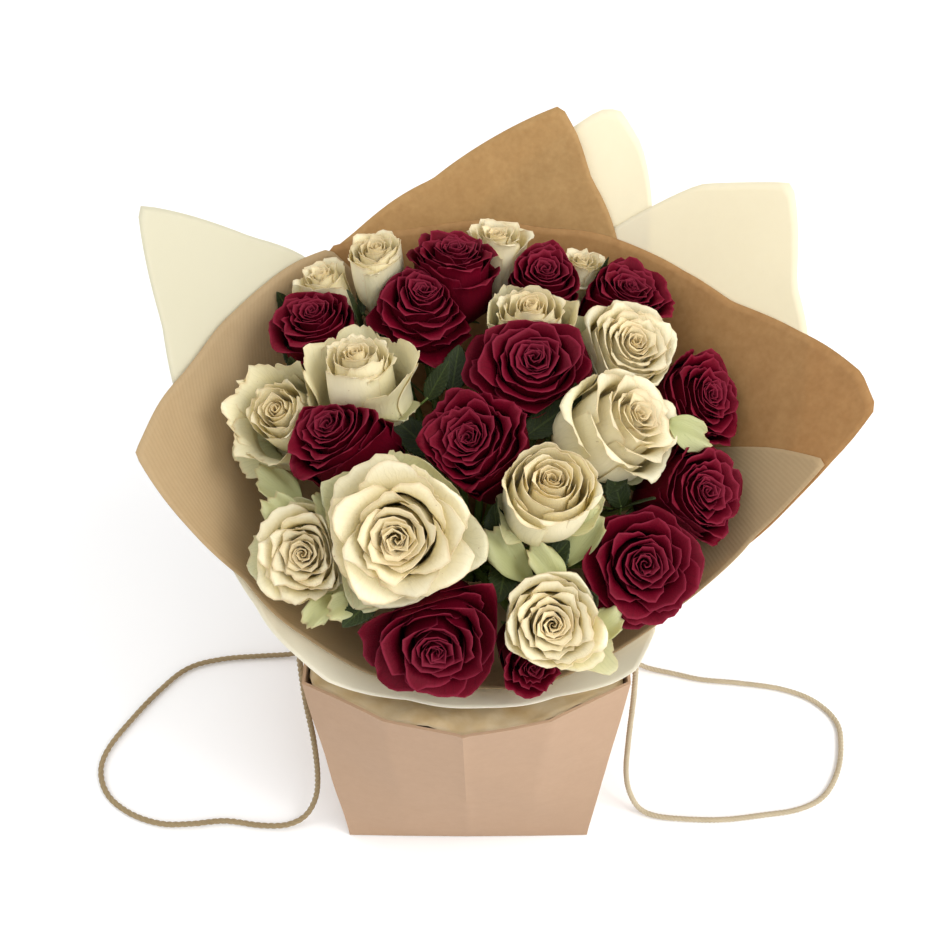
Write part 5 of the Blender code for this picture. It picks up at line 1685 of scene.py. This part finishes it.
# %% [markdown]
# A rose leaf is an oval with a toothed edge, folded a little along its midrib. Those that show between the
# blooms stand in the gap between two roses, so each one lies in the wall between their cells.

# %% Leaves between the blooms
# Rose, the neighbour that the leaf stands against or the bearing of the paper panel behind it, how far its
# tip rises above the blooms, and its length
LEAVES = (
    ("red_01", 140, 6, 52), ("cream_09", "red_01", 2, 40), ("red_02", "red_01", 4, 48),
    ("cream_04", "red_05", 4, 40), ("red_06", "cream_07", -2, 46), ("cream_07", "red_11", -4, 46),
    ("cream_12", "cream_10", -10, 40), ("cream_13", "red_11", -4, 36),
)
LEAF_WIDTH, LEAF_THICK = 0.2, 0.35
LEAF_TEETH, TOOTH_DEPTH = 12, 0.13
STALK_RADIUS, STALK_BOW, STALK_OVERLAP = 0.6, 0.8, 1.5


def leaf_frame(rose, against, above, length):
    """Root, direction along, direction across and normal of a leaf, as in the CAD model."""
    if isinstance(against, str):
        other = roses[against]
        normal, middle = rose.between[against]
        along = unit(rose.axis + other.axis)
        peak = max(rose.top @ along, other.top @ along) + above
    else:
        step = round((against - AZIMUTH_START) / AZIMUTH_STEP - 0.5)
        outward, normal, place = funnel_panel(AZIMUTH_START + AZIMUTH_STEP * (step + 0.5))
        slant = math.atan(FUNNEL_SLOPE)
        along = math.sin(slant) * outward + math.cos(slant) * UP
        middle = place - 0.5 * FUNNEL_GAP * normal
        peak = rose.top @ along + above
    along = unit(along - (along @ normal) * normal)
    tip = middle + (peak - middle @ along) * along
    return tip - length * along, along, np.cross(normal, along), normal


def blade_sheet(place, side, share, reach, half, lift, thick):
    """Skin and flat map of a blade, from how far along, across and above its root each point lies."""
    root, along, across, normal = place
    grid = root + reach[..., None] * along + (side * half)[..., None] * across + lift[..., None] * normal
    flat = np.stack(np.broadcast_arrays(0.5 + 0.5 * side, share), -1).reshape(-1, 2)
    return closed_sheet(grid, thick), np.vstack([flat, flat])


def leaf_blade(place, length, width):
    """A toothed oval blade, folded up a little along its midrib."""
    share = np.linspace(0, 1, 49)[None, :]
    side = np.linspace(-1, 1, 11)[:, None]
    half = width * np.sin(math.pi * share ** 0.8) ** 0.8
    half = half * (1 - TOOTH_DEPTH * ((share * LEAF_TEETH) % 1)) + 0.15
    wave = 0.5 * np.sin(math.pi * share) + 0.25 * np.sin(9 * share)
    lift = 0.6 * wave + 0.12 * np.abs(side) * half - 0.4
    return blade_sheet(place, side, share, share * length, half, lift, LEAF_THICK)


def stalk(start, end):
    """A thin stalk that bows up a little between a stem and a leaf."""
    share = np.linspace(0, 1, 8)[:, None]
    return tube(start + share * (end - start) + STALK_BOW * np.sin(math.pi * share) * UP, STALK_RADIUS, 8)


def leaf_and_stalk(rose, against, above, length):
    """A leaf in the gap beside a rose, and its stalk from that rose's stem."""
    place = leaf_frame(rose, against, above, length)
    blade, flat = leaf_blade(place, length, LEAF_WIDTH * length)
    root, along = place[:2]
    return blade, flat, stalk(stem_line(rose)[-5], root + STALK_OVERLAP * along)


print("leaves between the blooms:", len(LEAVES))


# %% [markdown]
# Smaller leaves fill the hollows where three roses meet. Each line gives the tip and the root of one leaf in
# the bouquet's own frame, and half its width.

# %% Leaves in the hollows
HOLLOW_LEAVES = (
    ((56, 25, 170), (26, 3, 166), 9), ((81, -6, 164), (64, -24, 156), 8),
    ((70, -15, 165), (76, -30, 150), 7), ((10, -35, 168), (13, -56, 153), 8),
    ((12, -82, 154), (17, -57, 148), 8), ((-104, 113, 142), (-88, 96, 140), 5),
    ((-106, 70, 146), (-94, 54, 142), 5), ((-13, 43, 175), (-25, 27, 161), 6),
    ((-8, 58, 166), (-12, 34, 157), 8), ((68, 127, 143), (63, 102, 140), 4),
    ((-65, 122, 150), (-62, 86, 150), 3), ((-65, -93, 149), (-50, -76, 145), 7),
    ((48, -50, 156), (30, -68, 146), 9), ((-45, 20, 160), (-20, 0, 150), 9),
    ((100, 10, 150), (80, 30, 150), 8), ((-62, 68, 158), (-40, 60, 150), 7),
)
STALK_DROP = 14


def lie_between(tip, root):
    """Place and length of a blade laid between two points of the bouquet, its upper side up."""
    tip, root = bouquet_point(*np.array(tip, float)), bouquet_point(*np.array(root, float))
    length = np.linalg.norm(tip - root)
    along = (tip - root) / length
    across = unit(np.cross(along, UP))
    return (root, along, across, np.cross(across, along)), length


def hollow_leaves():
    """The small leaves as one piece, and a stalk for each from the nearest stem below it."""
    stems = np.vstack([stem_line(rose)[FOOT_STEPS + 2:-1] for rose in roses.values()])
    blades, maps, stalks = [], [], []
    for tip, root, width in HOLLOW_LEAVES:
        place, length = lie_between(tip, root)
        blade, flat = leaf_blade(place, length, width)
        blades.append(blade)
        maps.append(flat)
        root, along = place[:2]
        nearest = np.argmin(np.linalg.norm(stems - (root - STALK_DROP * UP), axis=1))
        stalks.append(stalk(stems[nearest], root + STALK_OVERLAP * along))
    points, faces = combine(blades)
    make_piece("hollow_leaves", points, faces, ROSE_LEAF, flat_map=np.vstack(maps))
    points, faces = combine(stalks)
    make_piece("hollow_leaf_stalks", points, faces, ROSE_STEM)
    print("leaves in the hollows:", len(blades))


hollow_leaves()

# %% [markdown]
# The cream roses keep some of their pale green outer petals. Those that have come away from a bloom and
# stand in the hollows are wide at the tip, veined and wavy. The table has the same columns as the leaves.

# %% Loose pale petals
LOOSE_PETALS = (
    ((61, -37, 168), (46, -60, 149), 10), ((6, -50, 170), (28, -69, 151), 9),
    ((30, -57, 168), (44, -74, 153), 8), ((72, -85, 150), (57, -97, 140), 8),
    ((-80, -26, 161), (-62, -40, 150), 8), ((-32, -15, 180), (-31, -35, 163), 11),
    ((-114, -5, 146), (-92, -22, 139), 9), ((-72, -87, 151), (-52, -76, 145), 8),
    ((-107, -26, 155), (-88, -42, 146), 9), ((-84, -90, 146), (-70, -74, 142), 7),
    ((122, 1, 166), (100, 10, 168), 9),
)
LOOSE_THICK = 0.3
LOOSE_SEED = 11


def loose_petal(tip, root, width, dice):
    """A fan-shaped petal between its root and its tip, cupped upward, with a wavy edge."""
    place, length = lie_between(tip, root)
    side = np.linspace(-1, 1, 15)[:, None]
    share = np.linspace(0, 1, 14)[None, :]
    phase = dice.uniform(0, 6)
    half = width * (0.25 + 0.75 * np.sin(0.5 * math.pi * np.clip(share / 0.7, 0, 1)))
    ragged = 0.05 * np.sin(5 * side + phase) + 0.045 * np.sin(13 * side - 2 * phase)
    reach = share * length * (1 - 0.3 * side ** 2 + ragged)
    wave = 2.4 * share ** 1.5 * np.sin(4.6 * side + phase) + 1.1 * np.sin(5 * share + phase)
    lift = 0.22 * width * (side ** 2 - 0.5) + wave - 2.6 * share ** 3
    return blade_sheet(place, side, share, reach, half, lift, LOOSE_THICK)


def loose_petals():
    """The loose petals as one piece, each with a tone of its own."""
    dice = random.Random(LOOSE_SEED)
    made = [loose_petal(*line, dice) for line in LOOSE_PETALS]
    points, faces = combine([sheet for sheet, _ in made])
    flat = np.vstack([flat for _, flat in made])
    tones = np.repeat([dice.random() for _ in made], len(flat) // len(made))
    values = {"along": flat[:, 1], "rim": ease(0.97, 1, flat[:, 1]), "depth": np.zeros(len(flat)),
              "tone": tones, "guard": 1.0 - 0.25 * flat[:, 1]}
    make_piece("loose_petals", points, faces, CREAM_PETAL, values=values, flat_map=flat)
    print("loose petals:", len(made))


loose_petals()

# %% One piece for each CAD stem node, and its leaves beside it
def build_stems():
    """The green piece of each stem node, and beside it the leaves that belong to its roses."""
    leaf_count = 0
    for rose in roses.values():
        if rose.name in hosts:
            continue
        guests = [guest for guest, host in hosts.items() if host == rose.name]
        node = f"{rose.name}_and_{guests[0]}_stems" if guests else f"{rose.name}_stem"
        parts, leaves, maps = [], [], []
        for name in [rose.name, *guests]:
            parts += stem_parts(roses[name])
            for leaf in [leaf for leaf in LEAVES if leaf[0] == name]:
                blade, flat, leaf_stalk = leaf_and_stalk(roses[name], *leaf[1:])
                leaves.append(blade)
                maps.append(flat)
                parts.append(leaf_stalk)
        points, faces = combine(parts)
        make_piece(node.replace("_stem", "_green_stem"), points, faces, ROSE_STEM, [node])
        if leaves:
            points, faces = combine(leaves)
            make_piece(f"{rose.name}_leaves", points, faces, ROSE_LEAF, flat_map=np.vstack(maps))
            leaf_count += len(leaves)
    print("leaves:", leaf_count)


build_stems()

# %% [markdown]
# ## Floor and light
#
# The photograph was taken in a white studio: soft light from all round, a little stronger from the right,
# and no visible edge between table and wall. A large pale plane, a white world and four wide area lights
# give that. The view transform is set to Standard, so that whites stay white.

# %% Floor
FLOOR_HALF, FLOOR_DROP = 6.0, 0.0006
CORNERS = ((-1, -1), (1, -1), (1, 1), (-1, 1))
floor_points = [(FLOOR_HALF * x, FLOOR_HALF * y, -FLOOR_DROP) for x, y in CORNERS]
floor_mesh = bpy.data.meshes.new("floor")
floor_mesh.from_pydata(floor_points, [], [(0, 1, 2, 3)])
finish = Finish("pale_floor", 0.9)
finish.shader.inputs["Base Color"].default_value = (0.96, 0.96, 0.96, 1)
floor_mesh.materials.append(finish.material)
floor = bpy.data.objects.new("floor", floor_mesh)
scene.collection.objects.link(floor)
print("floor", 2 * FLOOR_HALF, "m wide")

# %% Light
# Name, place, the point it faces, its width in metres, and its power in watts
LIGHTS = (
    ("key", (1.1, -0.4, 1.5), (0, 0, 0.2), 0.8, 14),
    ("front", (0.8, -1.0, 1.2), (0, 0, 0.2), 1.0, 6),
    ("fill", (-1.2, 0.4, 1.4), (0, 0, 0.2), 1.2, 7),
    ("low", (1.0, -1.0, 0.3), (0, 0, 0.15), 0.9, 4),
)
WORLD_STRENGTH = 0.86
world = bpy.data.worlds.new("white_studio")
scene.world = world
world.use_nodes = True
sky = world.node_tree.nodes["Background"]
sky.inputs["Color"].default_value = (1, 1, 1, 1)
sky.inputs["Strength"].default_value = WORLD_STRENGTH


def area_light(name, place, aim, size, energy):
    """A square soft light that faces a point."""
    data = bpy.data.lights.new(name, "AREA")
    data.size, data.energy = size, energy
    made = bpy.data.objects.new(name, data)
    made.location = place
    direction = np.array(aim) - np.array(place)
    tilt = math.acos(-direction[2] / np.linalg.norm(direction))
    turn = math.atan2(direction[1], direction[0]) + math.pi / 2
    made.rotation_euler = (tilt, 0, turn + math.pi)
    scene.collection.objects.link(made)


for light in LIGHTS:
    area_light(*light)
scene.view_settings.view_transform = "Standard"
scene.view_settings.look = "None"
scene.view_settings.exposure = 0
print("lights:", ", ".join(light[0] for light in LIGHTS))
